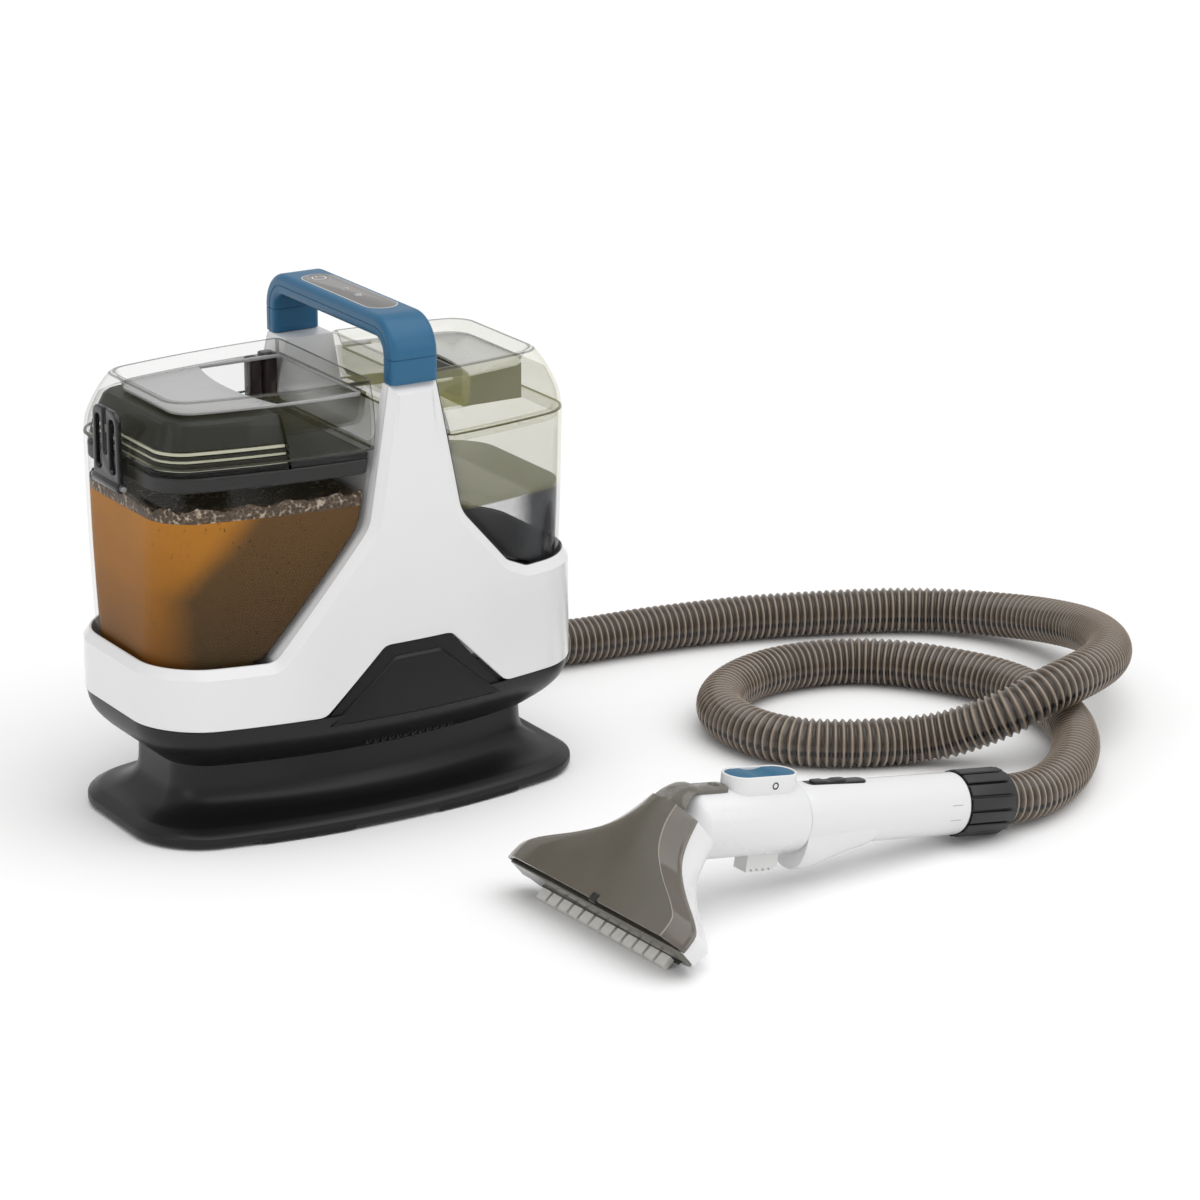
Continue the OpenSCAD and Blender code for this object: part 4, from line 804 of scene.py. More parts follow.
def cut_solid(name, mesh, material, cuts=(), bevel=0.0, segments=3, smooth_angle=30, within=()):
    """A solid kept within some meshes and cut by others, its sharp edges rounded by a bevel."""
    face_outward(mesh)
    solid = add_object(name, mesh)
    tools = []
    for operation, cutter in ([("INTERSECT", mesh) for mesh in within]
                              + [("DIFFERENCE", mesh) for mesh in cuts]):
        tool = add_object("tool", cutter)
        cut = solid.modifiers.new("cut", "BOOLEAN")
        cut.object, cut.operation, cut.solver = tool, operation, "EXACT"
        tools.append(tool)
    if bevel:
        rounding = solid.modifiers.new("round", "BEVEL")
        rounding.width, rounding.segments = bevel * MM, segments
        rounding.limit_method, rounding.angle_limit = "ANGLE", math.radians(32)
    bpy.context.view_layer.update()
    made = bpy.data.meshes.new_from_object(
        solid.evaluated_get(bpy.context.evaluated_depsgraph_get()))
    for tool in tools:
        bpy.data.objects.remove(tool)
    bpy.data.objects.remove(solid)
    return link_mesh(name, made, material, smooth_angle)


def closed_outline(corners, radii, step=1.2):
    """A closed outline through the corners, each rounded by its radius."""
    start = (np.array(corners[0], float) + np.array(corners[-1], float)) / 2
    line = rounded_line([start] + list(corners) + [start], [0] + list(radii) + [0], step)
    return line[:-1]


def tapered(middle, low, low_half, high, high_half, low_r, high_r, step=1.2):
    """A four-cornered outline about a middle line, with its own width and corners at each end."""
    return closed_outline([(middle - low_half, low), (middle + low_half, low),
                           (middle + high_half, high), (middle - high_half, high)],
                          [low_r, low_r, high_r, high_r], step)


def pill(x, y, width, length, r, low, high, axis):
    """A solid with a round-cornered outline about (x, y), carried along an axis."""
    half, end = width / 2, length / 2
    return prism(tapered(x, y - end, half, y + end, half, r, r, 1.0), low, high, axis)


saddle_z = 276.0
inner_d = 6.3
tower_heights = [112, 135, 160, 185, 205, 225, 245, 265, 285, 300, column_top_z]
tower_rings = [[(x, y, z) for x, y in bowed_outline(half_l - inner_d, half_w - inner_d - lean_at(z),
                                                   side_bow, shell_r - inner_d)]
               for z in tower_heights]
tower_face = closed_outline(
    [(left_foot + 3, 100), (right_foot - 3, 100), (right_foot - 3, ring_right_z),
     (right_foot - 20, ring_right_z + 8), (right_shoulder - 0.3, shoulder_z),
     (top_right - 0.3, column_top_z + 2), (top_left + 0.3, column_top_z + 2),
     (left_shoulder + 0.3, shoulder_z), (left_foot + 6, ring_left_z + 4), (left_foot + 3, ring_left_z)],
    [1, 1, 8, 10, 20, 1, 1, 20, 6, 3])
front_leg_y, rear_leg_y = -81.9, 61.9
saddle_face = closed_outline([(front_leg_y, saddle_z), (rear_leg_y, saddle_z),
                              (rear_leg_y, column_top_z + 20), (front_leg_y, column_top_z + 20)],
                             [9, 9, 1, 1])
tower = cut_solid("tower_body", ring_stack(tower_rings), white_gloss,
                  [prism(saddle_face, column_x - 60, column_x + 60, "X")], 1.6,
                  within=[prism(tower_face, -150, 150)])
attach(tower, "machine")
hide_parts("centre_tower")

# ------------------------------------------------------------------ carry handle
# A blue handle in two moulded halves, an underside and a cover, that meet in a fine seam. It
# stands in two sockets on the tower's legs and holds the control panel on its top.

handle_rise, handle_w, grip_t, handle_r = 46.0, 37.0, 16.0, 27.0
handle_z = column_top_z + handle_rise
socket_z = column_top_z + 18
mid_y, mid_z, mid_r = half_w - 6.2 - grip_t / 2, handle_z - grip_t / 2, handle_r - grip_t / 2
handle_line = rounded_line([(-mid_y, column_top_z), (-mid_y, mid_z), (mid_y, mid_z),
                            (mid_y, column_top_z)], [0, mid_r, mid_r, 0])
# Places along the handle, closer together at the seam over each socket, with their inset
socket_h = socket_z - column_top_z
seam_steps = [(0.3, 0.5), (0.9, 0.0), (6, 0), (12, 0), (socket_h - 0.5, 0.0), (socket_h - 0.3, 0.5),
              (socket_h + 0.3, 0.5), (socket_h + 0.5, 0.0)]


def handle_section(inset):
    """The handle's section: across X, and out from the middle line, with a seam in its sides."""
    w, t, r = handle_w / 2 - inset, grip_t / 2 - inset, 4.6
    out = []
    for sx, st, first in ((1, 1, 0), (-1, 1, 90), (-1, -1, 180), (1, -1, 270)):
        for a in np.linspace(first, first + 90, 7):
            out.append((sx * (w - r) + r * math.cos(math.radians(a)),
                        st * (t - r) + r * math.sin(math.radians(a))))
        if (sx, st) == (-1, 1):
            out += [(-w, 0.3), (-w + 0.5, 0.0), (-w + 0.5, -0.4), (-w, -0.7)]
    out += [(w, -0.7), (w - 0.5, -0.4), (w - 0.5, 0.0), (w, 0.3)]
    return out


handle_lengths = run_lengths(handle_line)
total = handle_lengths[-1]


def on_handle(t):
    """The point at a length along the handle's middle line."""
    return np.array([np.interp(t, handle_lengths, handle_line[:, k]) for k in (0, 1)])


places = seam_steps + [(t, 0.0) for t in np.arange(socket_h + 2, total - socket_h - 1.5, 2.0)]
places += [(total - t, inset) for t, inset in reversed(seam_steps)]
handle_rings = []
for t, inset in places:
    way = on_handle(t + 0.8) - on_handle(t - 0.8)
    way /= np.linalg.norm(way)
    out_way = np.array([-way[1], way[0]])
    handle_rings.append([(column_x + u, *(on_handle(t) + out_way * v)) for u, v in handle_section(inset)])
blue_plastic = moulded_material("blue plastic", (0.018, 0.115, 0.225), 0.34, 0.03, (0.2, 0.3, 0.4),
                                1100.0, 0.00002, Specular_IOR_Level=0.35)
handle = link_mesh("handle_arch", ring_stack(handle_rings, recalc=True), blue_plastic, 40)
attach(handle, "machine")
for name in ("handle_sockets", "handle_grip", "handle_cover"):
    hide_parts(name)

# The touch panel is a smoked strip with a pale rim, set flush in the handle's top.
control_w, control_l, button_r, rim_wide = 24.0, 114.0, 8.0, 0.7
button_y = control_l / 2 - 12
rim_white = uneven_gloss(new_material("pale rim", (0.62, 0.62, 0.60), 0.4), 200.0, 0.34, 0.5)
panel_grey = moulded_material("smoked panel", (0.135, 0.125, 0.118), 0.3, 0.08, (0.3, 0.3, 0.3),
                              900.0, 0.000008, Coat_Weight=0.5)
rim = cut_solid("panel_rim", pill(column_x, 0, control_w + 2 * rim_wide, control_l + 2 * rim_wide,
                                  12.6, handle_z - 1.2, handle_z + 0.28, "Z"), rim_white, (), 0.2, 2)
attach(rim, "machine")
button_hole = prism(circle(column_x, button_y, button_r + 0.3, 64), handle_z - 5, handle_z + 5, "Z")
strip = cut_solid("panel_strip", pill(column_x, 0, control_w, control_l, 11.9, handle_z - 1.0,
                                      handle_z + 0.5, "Z"), panel_grey, [button_hole], 0.25, 2)
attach(strip, "machine")
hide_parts("control_panel")


def ring_mesh(x, y, z, r, wide, high, first=0.0, last=360.0):
    """A flat raised ring or arc round a centre, on a level surface."""
    full = last - first >= 360
    sections = [[(x + q * math.cos(a), y + q * math.sin(a), h) for q, h in
                 ((r, z), (r - wide, z), (r - wide, z + high), (r, z + high))]
                for a in np.radians(np.linspace(first, last, 57))]
    return ring_stack(sections, not full, not full, recalc=True)


printed = uneven_gloss(new_material("printed mark", (0.75, 0.75, 0.74), 0.5), 300.0, 0.45, 0.6)
mark_z = handle_z + 0.42
button_mark_z = handle_z + 0.24
power_ring = link_mesh("power_ring", ring_mesh(column_x, button_y, button_mark_z, 5.4, 0.8, 0.15,
                                               120, 420), printed, 30)
bar_outline = [(column_x - 0.4, button_y + 2.6), (column_x + 0.4, button_y + 2.6),
               (column_x + 0.4, button_y + 6), (column_x - 0.4, button_y + 6)]
power_bar = link_mesh("power_bar", prism(bar_outline, button_mark_z, button_mark_z + 0.15, "Z"),
                      printed, 30)
for mark in (power_ring, power_bar):
    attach(mark, "power_button")
mark_pieces = [ring_mesh(column_x, *mark) for mark in (
    (7, mark_z, 3.0, 0.5, 0.14, 200, 430), (-15, mark_z, 3.0, 0.5, 0.14, 20, 300),
    (-15, mark_z, 1.4, 0.5, 0.14))]
for k, mesh in enumerate(mark_pieces):
    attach(link_mesh("panel_mark_" + str(k), mesh, printed, 30), "machine")
give(panel_grey, "power_button")
lens_white = new_material("lit lens", (0.9, 0.9, 0.88), 0.25, Emission_Strength=0.6)
lens_white.node_tree.nodes["Principled BSDF"].inputs["Emission Color"].default_value = (1, 1, 0.95, 1)
uneven_gloss(lens_white, 250.0, 0.2, 0.3)
give(lens_white, "indicator_lens")

# ------------------------------------------------------------------ tanks and water
# Two blow-clear olive plastic tanks stand in the ring either side of the column. The left one
# holds what has been sucked up, opaque amber under dirty froth; the right one holds clean water.

tank_wall, tank_gap, seam_z, tank_z = 2.5, 1.2, 274.7, 112.3
# height, inset from the shell, bow, corner radius
tank_table = [(tank_z, 14, 26.8, 28), (tank_z + 1.5, 11.6, 26.8, 31), (tank_z + 5, 9.5, 26.8, 34),
              (tank_z + 30, 7.8, 26.8, 35), (200.3, 7.6, 24.8, 31), (seam_z, 8.8, 22.4, 25)]


def edge_x(z, side):
    """Where a tank or a lid meets the column at a height."""
    half = top_line[top_line[:, 0] * side > column_x * side]
    order = half[np.argsort(half[:, 1])]
    return float(np.interp(z, order[:, 1], order[:, 0])) + side * tank_gap * 1.5


def tank_outline(side, hx, hy, bow, r, edge, fillet=6.0):
    """A tank's outline seen from above: the shell's end, closed by a flat side at the column."""
    e = edge * -side if side > 0 else edge
    r = max(r, 3)
    fillet = min(fillet, max(1.0, (e + hx - r) * 0.6))
    back = []
    for t in np.linspace(0, 1, 26):
        x = (e - fillet) + (-(hx - r) - (e - fillet)) * t
        back.append((x, hy - bow * (x / hx) ** 2))
    for i in range(1, 12):
        a = math.radians(90 + 90 * i / 12)
        x = -(hx - r) + r * math.cos(a)
        back.append((x, hy - bow - r + r * math.sin(a) + bow * (1 - (x / hx) ** 2)))
    back.append((-hx, hy - bow - r))
    back.append((-hx, (hy - bow - r) / 2))
    top = back[0][1]
    turn_in = [(e - fillet + fillet * math.cos(a), top - fillet + fillet * math.sin(a))
               for a in np.radians([8, 22, 38, 56, 74])]
    half = [(e, 0.0), (e, (top - fillet) * 0.5), (e, top - fillet)] + turn_in + back
    points = half + [(-hx, 0.0)] + [(x, -y) for x, y in reversed(half[1:])]
    if side > 0:
        points = [(-x, y) for x, y in reversed(points)]
    return points


def tank_ring(z, table, side, wall=0.0, squeeze=0.0):
    """A tank's outline at a height, drawn in by a wall, and at the front and back by a squeeze."""
    row = curve_between(table, [z])[0]
    edge = edge_x(max(z, ring_left_z), side) + side * wall
    d = row[1] + wall
    return [(x, y, z) for x, y in tank_outline(side, half_l - d, half_w - d - squeeze, row[2],
                                               row[3] - wall, edge, 6.0 - wall * 0.6)]


def seen_once(tree, share):
    """Lets each clear wall hide once, by the side that faces the eye."""
    behind = put(tree, "ShaderNodeNewGeometry").outputs["Backfacing"]
    return maths(tree, "MULTIPLY", share, maths(tree, "SUBTRACT", 1.0, behind))


def clear_material(name, tint, thin, on_edge, gloss=0.03, ior=1.6):
    """Thin clear plastic: a tinted film that hides more where it is seen on edge."""
    material = new_material(name, tint, gloss, IOR=ior)
    tree = material.node_tree
    view = put(tree, "ShaderNodeLayerWeight", {"Blend": 0.3})
    share = ranged(tree, view.outputs["Facing"], 0.3, 0.95, thin, on_edge)
    feed(material, Alpha=seen_once(tree, share))
    uneven_gloss(material, 30.0, gloss * 0.6, gloss * 1.8)
    return material


olive = (0.36, 0.35, 0.11)
clear_plastic = clear_material("clear olive plastic", olive, 0.26, 0.66, ior=1.8)
tank_plastic = clear_material("tank olive plastic", (0.05, 0.042, 0.012), 0.05, 0.5, ior=1.45)
smoky_plastic = clear_material("smoky olive plastic", (0.065, 0.062, 0.012), 0.13, 0.78)
# A darker, more opaque clear plastic, used for painted shade on edges and corners.
edge_shade_plastic = clear_material("painted edge shade plastic", (0.025, 0.025, 0.018), 0.62, 0.9)


def place_on(tree):
    """The place on the piece along X, Y and Z, in metres."""
    place = put(tree, "ShaderNodeTexCoord").outputs["Object"]
    return put(tree, "ShaderNodeSeparateXYZ", {0: place}).outputs


# The clean tank's wall is the same plastic, painted dark grey below the water line as painted shade.
rinse_plastic = clear_material("clean tank plastic", olive, 0.26, 0.66, ior=1.8)
tree = rinse_plastic.node_tree
above = ranged(tree, place_on(tree)["Z"], 0.2185, 0.2205)
feed(rinse_plastic, Base_Color=ramp(tree, above, (0.0, (0.035, 0.036, 0.036)), (1.0, olive)))


def dark_edges(piece, chosen):
    """Gives chosen faces of a clear piece the darker plastic as painted edge shade: chosen picks faces in
    mm.
    """
    piece.data.materials.append(edge_shade_plastic)
    for face in piece.data.polygons:
        if chosen(*(c / MM for c in face.center), *face.normal):
            face.material_index = 1


def by_column(x, nx, ny, reach=30, slant=0.45):
    """True for the narrow corner of a tank or hood beside the column."""
    return abs(x - column_x) < reach and min(abs(nx), abs(ny)) > slant


# A thin black strip of painted shade stands round the clean side's opening, where the shell meets the
# tank, for the shadow in the gap between them.
gap_shade_black = moulded_material("painted gap shade black", (0.012, 0.012, 0.012), 0.45, 0.0)
gap_shade_layers = [(0.9, -0.6, 1, 4.6), (0.9, -0.6, 1, 5.4), (0.9, 0.3, 1, 5.4), (0.9, 0.3, 1, 4.6)]
gap_shade_rings = [[(x, y, min(z, column_top_z - 0.3)) for x, y, z in ring if x > column_x]
             for ring in side_band(upper_edge, lower_edge, gap_shade_layers)]
shell_lip = link_mesh("shell_lip", ring_stack(list(zip(*gap_shade_rings)), recalc=True), gap_shade_black, 30)
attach(shell_lip, "machine")

outer_heights = [tank_z, 112.8, 113.8, 115.2, 117.3, 121, 126] + list(np.arange(132, 150, 2.0)) \
    + list(np.arange(150, 270, 4.0)) + [270.5, 272.5, seam_z - 0.4, seam_z]
inner_heights = [h for h in reversed(outer_heights) if h > tank_z + tank_wall]
dark_from_z = 180
for side, name, plastic in ((-1, "dirty_tank", tank_plastic), (1, "clean_tank", rinse_plastic)):
    rings = [tank_ring(z, tank_table, side) for z in outer_heights]
    rings += [tank_ring(z, tank_table, side, tank_wall) for z in inner_heights]
    tank = link_mesh(name + "_shell", ring_stack(rings), plastic, 35)
    # The tank's narrow corner beside the column, high up, gets painted shade.
    dark_edges(tank, lambda x, y, z, nx, ny, nz: z > dark_from_z and by_column(x, nx, ny))
    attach(tank, name)
    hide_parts(name)

dirty_level, clean_level = 236.0, 220.0
dirty_water = new_material("dirty water", (0.4, 0.2, 0.05), 0.5, Specular_IOR_Level=0.15)
tree = dirty_water.node_tree
at = place_on(tree)
height = ranged(tree, at["Z"], 0.115, 0.236)
# The water is painted darker towards the bottom and towards the column's side as painted shade, that
# shade beginning further in near the top; soft noise adds patches of murk.
turn_x = ranged(tree, at["Z"], 0.180, 0.236, -0.170, -0.120)
across = ranged(tree, maths(tree, "SUBTRACT", at["X"], turn_x), 0.0, 0.036,
                interpolation_type="SMOOTHSTEP")
dark_share = maths(tree, "MULTIPLY_ADD", noise_on(tree, 22.0, 1.0), 0.36, -0.10)
side_share = maths(tree, "ADD", across, dark_share, use_clamp=True)
amber = ramp(tree, height, (0.0, (0.20, 0.066, 0.004)), (1.0, (0.46, 0.185, 0.022)))
murk_and_shade = ramp(tree, height, (0.0, (0.042, 0.026, 0.010)), (1.0, (0.12, 0.062, 0.022)))
speck_share = ranged(tree, noise_on(tree, 420.0), 0.64, 0.72, to_high=0.7)
speckled = mixed(tree, speck_share, mixed(tree, side_share, amber, murk_and_shade), (0.03, 0.014, 0.006, 1))
feed(dirty_water, Base_Color=speckled)

clean_water = new_material("clean water", (0.016, 0.018, 0.026), 0.03, IOR=1.33)
tree = clean_water.node_tree
at = place_on(tree)
# Painted shade: its top shows grey, and below it the wall is clear at the column and painted dark towards
# the corner.
deep = ranged(tree, at["X"], 0.104, 0.128, 0.08, 0.96, interpolation_type="SMOOTHSTEP")
at_top = ranged(tree, at["Z"], 0.2175, 0.2192, 0.0, 0.86)
veil = maths(tree, "MULTIPLY_ADD", noise_on(tree, 14.0), 0.14, -0.07)
hides = maths(tree, "ADD", maths(tree, "MAXIMUM", deep, at_top), veil, use_clamp=True)
feed(clean_water, Alpha=seen_once(tree, hides))
water_gap = tank_wall + 0.35
for side, name, level, stuff in ((-1, "dirty_water", dirty_level, dirty_water),
                                 (1, "clean_water", clean_level, clean_water)):
    heights = [tank_z + water_gap] + [h for h in outer_heights if tank_z + 3.4 < h < level - 1.2]
    rings = [tank_ring(z, tank_table, side, water_gap) for z in heights + [level - 1.0]]
    rings += [tank_ring(level - 0.2, tank_table, side, water_gap + 0.2),
              tank_ring(level, tank_table, side, water_gap + 1.2)]
    water = link_mesh(name + "_fill", ring_stack(rings), stuff, 50)
    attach(water, "dirty_tank" if side < 0 else "clean_tank")
    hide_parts(name)

# A ring of froth, bubbles and bits of dirt stands on the dirty water against the tank's wall.
froth = new_material("dirty froth", (0.2, 0.15, 0.1), 0.35)
tree = froth.node_tree
place = put(tree, "ShaderNodeTexCoord").outputs["Object"]
cells = put(tree, "ShaderNodeTexVoronoi", {"Vector": place, "Scale": 420.0}).outputs["Distance"]
lumps = maths(tree, "MULTIPLY", cells, noise_on(tree, 90.0, 6.0))
tone = ramp(tree, lumps, (0.06, (0.030, 0.019, 0.011)), (0.33, (0.105, 0.066, 0.038)),
            (0.50, (0.46, 0.39, 0.30)))
bumps = put(tree, "ShaderNodeBump", {"Height": cells, "Distance": 0.001})
feed(froth, Base_Color=tone, Normal=bumps.outputs[0])
froth_rings = []
for k, (rise, inside) in enumerate(((-0.6, 0.5), (3, 0.4), (7, 0.6), (8.5, 2.2), (6, 6), (2.5, 14))):
    ring = tank_ring(dirty_level + rise, tank_table, -1, tank_wall + inside)
    share = 0.2 if k == 0 else 0.8
    froth_rings.append([(x, y, z + share * (1.6 * math.sin(i * 0.9 + k) + 1.1 * math.sin(i * 2.3)))
                        for i, (x, y, z) in enumerate(ring)])
froth_ring = link_mesh("froth", ring_stack(froth_rings), froth, 60)
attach(froth_ring, "dirty_tank")

# ------------------------------------------------------------------ lids
# Each tank has a clear hood with a sunk plate and a deep scoop for the fingers at the column.
# Black rubber under the hood seals it, and the dirty tank's air separator hangs inside.

lid_z, plate_z, scoop_z = seam_z + 0.3, column_top_z - 10.0, seam_z + 10
# height, inset from the shell, bow, corner radius
lid_table = [(lid_z, 9.0, 22.4, 25), (seam_z + 12, 10.4, 21.8, 24), (seam_z + 24, 15.0, 20.8, 21),
             (seam_z + 34, 20.5, 18.8, 18), (column_top_z, 27.0, 16.8, 15)]


def lid_ring(z, side, wall=0.0, extra=0.0):
    """The lid's outline at a height; it draws in at the front and back as it rises."""
    squeeze = 3.6 * (z - lid_z) / (column_top_z - lid_z)
    table = [(h, d + extra, bow, r) for h, d, bow, r in lid_table]
    return tank_ring(min(z, column_top_z), table, side, wall, squeeze)


def flat_ring(z, side, inset, wall, bow=16.8, r=14.0, squeeze=3.6):
    """A level outline of the lid's plate, set in from the shell and from the column."""
    edge = edge_x(column_top_z, side) + side * wall
    return [(x, y, z) for x, y in tank_outline(side, half_l - inset, half_w - inset - squeeze, bow, r,
                                               edge, 5.0)]


lid_heights = [lid_z, lid_z + 0.5] + list(np.arange(278, 316, 3.0)) + [316.4]
hood_black = moulded_material("dark lid rim", (0.03, 0.03, 0.026), 0.2, 0.0)
rim_low, rim_high = 316.5, column_top_z - 0.2
for side, name, plastic in ((-1, "dirty_lid", smoky_plastic), (1, "clean_lid", clear_plastic)):
    hood = [lid_ring(z, side) for z in lid_heights]
    hood += [flat_ring(z, side, inset, wall) for z, inset, wall in (
        (column_top_z - 0.3, 27.6, 0.9), (column_top_z, 28.6, 1.8), (column_top_z - 0.4, 30.2, 3.2),
        (plate_z + 1.5, 33.2, 4.6), (plate_z, 34.4, 5.6), (plate_z - 2.2, 34.4, 5.6),
        (plate_z - 2.2, 26.5, 2.6))]
    hood += [lid_ring(z, side, tank_wall) for z in reversed(lid_heights) if z < plate_z - 3]
    lid = link_mesh(name + "_hood", ring_stack(hood, closed=True), plastic, 35)
    # Painted shade on the hood's corner beside the column, along its top rim and along the plate's edge.
    dark_edges(lid, lambda x, y, z, nx, ny, nz: by_column(x, nx, ny)
               or rim_low < z < rim_high or plate_z < z < plate_z + 1.4)
    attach(lid, name)
    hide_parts(name)


def scoop_ring(scoop, z, grow):
    """The scoop's outline at a height, drawn in towards its middle."""
    middle_x, middle_y = np.mean(np.array(scoop), axis=0)
    return [(middle_x + (x - middle_x) * (1 - grow / 32.0),
             middle_y + (y - middle_y) * (1 - grow / scoop_half), z) for x, y in scoop]


scoop_half = half_w - 42
plate_reach = {-1: 90.0, 1: 63.0}
plate_plastic = {-1: new_material("grey smoked plate", (0.42, 0.42, 0.42), 0.3),
                 1: new_material("pale smoked plate", (0.50, 0.50, 0.47), 0.3)}
for side, name in ((-1, "dirty_lid"), (1, "clean_lid")):
    uneven_gloss(plate_plastic[side], 40.0, 0.16, 0.3)
    plate = [flat_ring(z, side, inset, 5.2) for z, inset in
             ((plate_z - 2.0, 34.0), (plate_z - 0.3, 34.0), (plate_z, 34.4))]
    near = column_x + side * (19 + tank_gap + 2 * tank_wall)
    far = column_x + side * plate_reach[side]
    # The scoop's far end is a bow that cuts into the plate.
    bulge = [(far + side * 9 * (1 - (t * 2 - 1) ** 2), scoop_half * (2 * t - 1)) for t in
             np.linspace(0, 1, 25)]
    scoop = [(near, -scoop_half), *bulge, (near, scoop_half)]
    plate_piece = cut_solid(name + "_plate", ring_stack(plate), plate_plastic[side],
                            [prism(scoop, plate_z - 10, plate_z + 10, "Z")], 0.5, 2)
    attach(plate_piece, name)
    # The well's outer skin from its floor up to the plate, then its inner skin down again.
    well = [scoop_ring(scoop, z, grow) for z, grow in (
        (scoop_z - 2.2, 5.0), (scoop_z, 0.2), (scoop_z + 6, -1.2), (plate_z - 0.2, -2.0),
        (plate_z - 0.2, -0.4), (scoop_z + 6, 0.6), (scoop_z + 2, 2.0), (scoop_z, 5.0))]
    well_piece = link_mesh(name + "_scoop", ring_stack(well, recalc=True),
                           clear_plastic if side > 0 else tank_plastic, 35)
    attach(well_piece, name)

# Dark seams: the hood's foot, and the black rubber that seals it inside the tank.
seal_rubber = moulded_material("seal rubber", (0.008, 0.008, 0.009), 0.42, 0.03, (0.1, 0.1, 0.1), 600.0,
                               0.000006)


def band(side, steps):
    """A closed band round the inside of a tank or lid: height and inset beyond the wall."""
    return [tank_ring(min(z, seam_z), tank_table, side, d) if z <= seam_z
            else lid_ring(z, side, d) for z, d in steps]


seal = band(-1, [(257.5, 3.4), (258.5, 2.8), (267, 2.8), (268, 3.4), (268, 9.5), (257.5, 9.5)])
seal_piece = link_mesh("dirty_seal", ring_stack(seal, closed=True), seal_rubber, 30)
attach(seal_piece, "dirty_lid")
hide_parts("lid_gasket")
seam_line = band(-1, [(seam_z - 0.4, 0.2), (seam_z - 0.4, 2.2), (lid_z + 0.4, 2.2), (lid_z + 0.4, 0.2)])
clean_seam = band(1, [(seam_z - 0.2, 0.2), (seam_z - 0.2, 2.2), (lid_z + 0.2, 2.2), (lid_z + 0.2, 0.2)])
for name, rings in (("dirty_lid", seam_line), ("clean_lid", clean_seam)):
    edge_piece = link_mesh(name + "_seam", ring_stack(rings, closed=True), hood_black, 30)
    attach(edge_piece, name)

# The separator: black moulded trays stacked with pale ribs between, seen through the hood.
separator_black = moulded_material("separator black", (0.016, 0.017, 0.019), 0.34, 0.03,
                                   (0.1, 0.1, 0.1), 800.0, 0.000005, Specular_IOR_Level=0.22)
pale_rib = uneven_gloss(new_material("pale clear rib", (0.62, 0.62, 0.48), 0.25), 60.0, 0.18, 0.35)
separator_x = column_x - plate_reach[-1] - 5


def separator_ring(z, d, grow=0.0):
    """One level of the separator: the lid's outline drawn in, clear of the finger scoop."""
    ring = lid_ring(z, -1, tank_wall + d) if z > seam_z else tank_ring(z, tank_table, -1, tank_wall + d)
    return [(min(x, separator_x + grow), *rest) for x, *rest in ring]


levels = [(268.7, 1.0), (271.6, 1.0), (272.2, 4.0), (274.5, 4.0), (275.2, 2.2), (277.0, 2.2),
          (277.6, 5.5), (279.6, 5.5), (280.2, 3.0), (281.8, 3.0), (282.4, 6.0), (285.0, 6.0),
          (286.0, 3.2), (301.5, 3.8), (303.5, 5.6)]
separator = link_mesh("separator_trays", ring_stack([separator_ring(z, d) for z, d in levels]),
                      separator_black, 30)
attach(separator, "dirty_lid")
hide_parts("separator")
for k, (low, high, d) in enumerate(((272.4, 274.3, 2.0), (277.8, 279.4, 3.4), (282.8, 284.8, 3.6))):
    rib = link_mesh("separator_rib_" + str(k), ring_stack(
        [separator_ring(low, d, 1.0), separator_ring(high, d, 1.0)]), pale_rib, 30)
    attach(rib, "dirty_lid")

# The flange under the scoop and the two dark air ducts that stand beside the column.
flange = link_mesh("separator_flange", ring_stack([tank_ring(z, tank_table, -1, tank_wall + d)
                   for z, d in ((268.2, 1.6), (268.7, 1.0), (271.4, 1.0), (272.0, 1.6))]),
                   separator_black, 30)
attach(flange, "dirty_lid")
duct_dark = uneven_gloss(new_material("dark smoked duct", (0.045, 0.032, 0.034), 0.22),
                         50.0, 0.16, 0.3)
duct_gap, duct_low, duct_front, duct_back = column_x - 19 - 3.2, 272.2, 62.5, 76
for k, (x0, x1, top) in enumerate(((duct_gap - 22, duct_gap - 12.5, 314.0),
                                   (duct_gap - 11, duct_gap, 316.6))):
    outline = closed_outline([(x0 - 3, duct_front), (x1 - 3, duct_front), (x1 - 3, duct_back),
                              (x0 - 3, duct_back)], [3, 3, 3, 3])
    duct = cut_solid("air_duct_" + str(k), prism(outline, duct_low, top - 8, "Z"), duct_dark, (), 1.2)
    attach(duct, "dirty_lid")

# ------------------------------------------------------------------ dirty lid's latch
# A black latch turns on a pin low on the tank's end and hooks the hood. Two looped arms with
# a thin web between them give it spring and a hold for the fingers.

latch_w, latch_x, latch_low, latch_high = 40.0, -half_l + 1.5, seam_z - 22, seam_z + 31
latch_black = moulded_material("latch black", (0.010, 0.010, 0.011), 0.22, 0.0, (0.1, 0.1, 0.1),
                               900.0, 0.00001)
latch_block = tapered(0, latch_low - 2, latch_w / 2, latch_high, latch_w / 2 - 1, 5, 8)
loops = [tapered(s * 11, latch_low + 8, 5, latch_high - 6, 4.4, 4, 4) for s in (-1, 1)]
cuts = [prism(loop, latch_x - 20, latch_x + 20, "X") for loop in loops]
middle_cut = tapered(0, latch_low + 20, 3.4, latch_high + 9, 3.0, 3, 2.5)
cuts.append(prism(middle_cut, latch_x - 20, latch_x + 1.8, "X"))
latch = cut_solid("latch_arms", prism(latch_block, latch_x, latch_x + 4, "X"), latch_black, cuts, 1.3, 4)
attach(latch, "dirty_latch")
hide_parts("dirty_latch")
hook_tip = -half_l + 7.6
hook_side = [(latch_x + 1, seam_z + 13), (hook_tip, seam_z + 13), (hook_tip, seam_z + 17),
             (latch_x + 4, seam_z + 20), (latch_x + 1, seam_z + 20)]
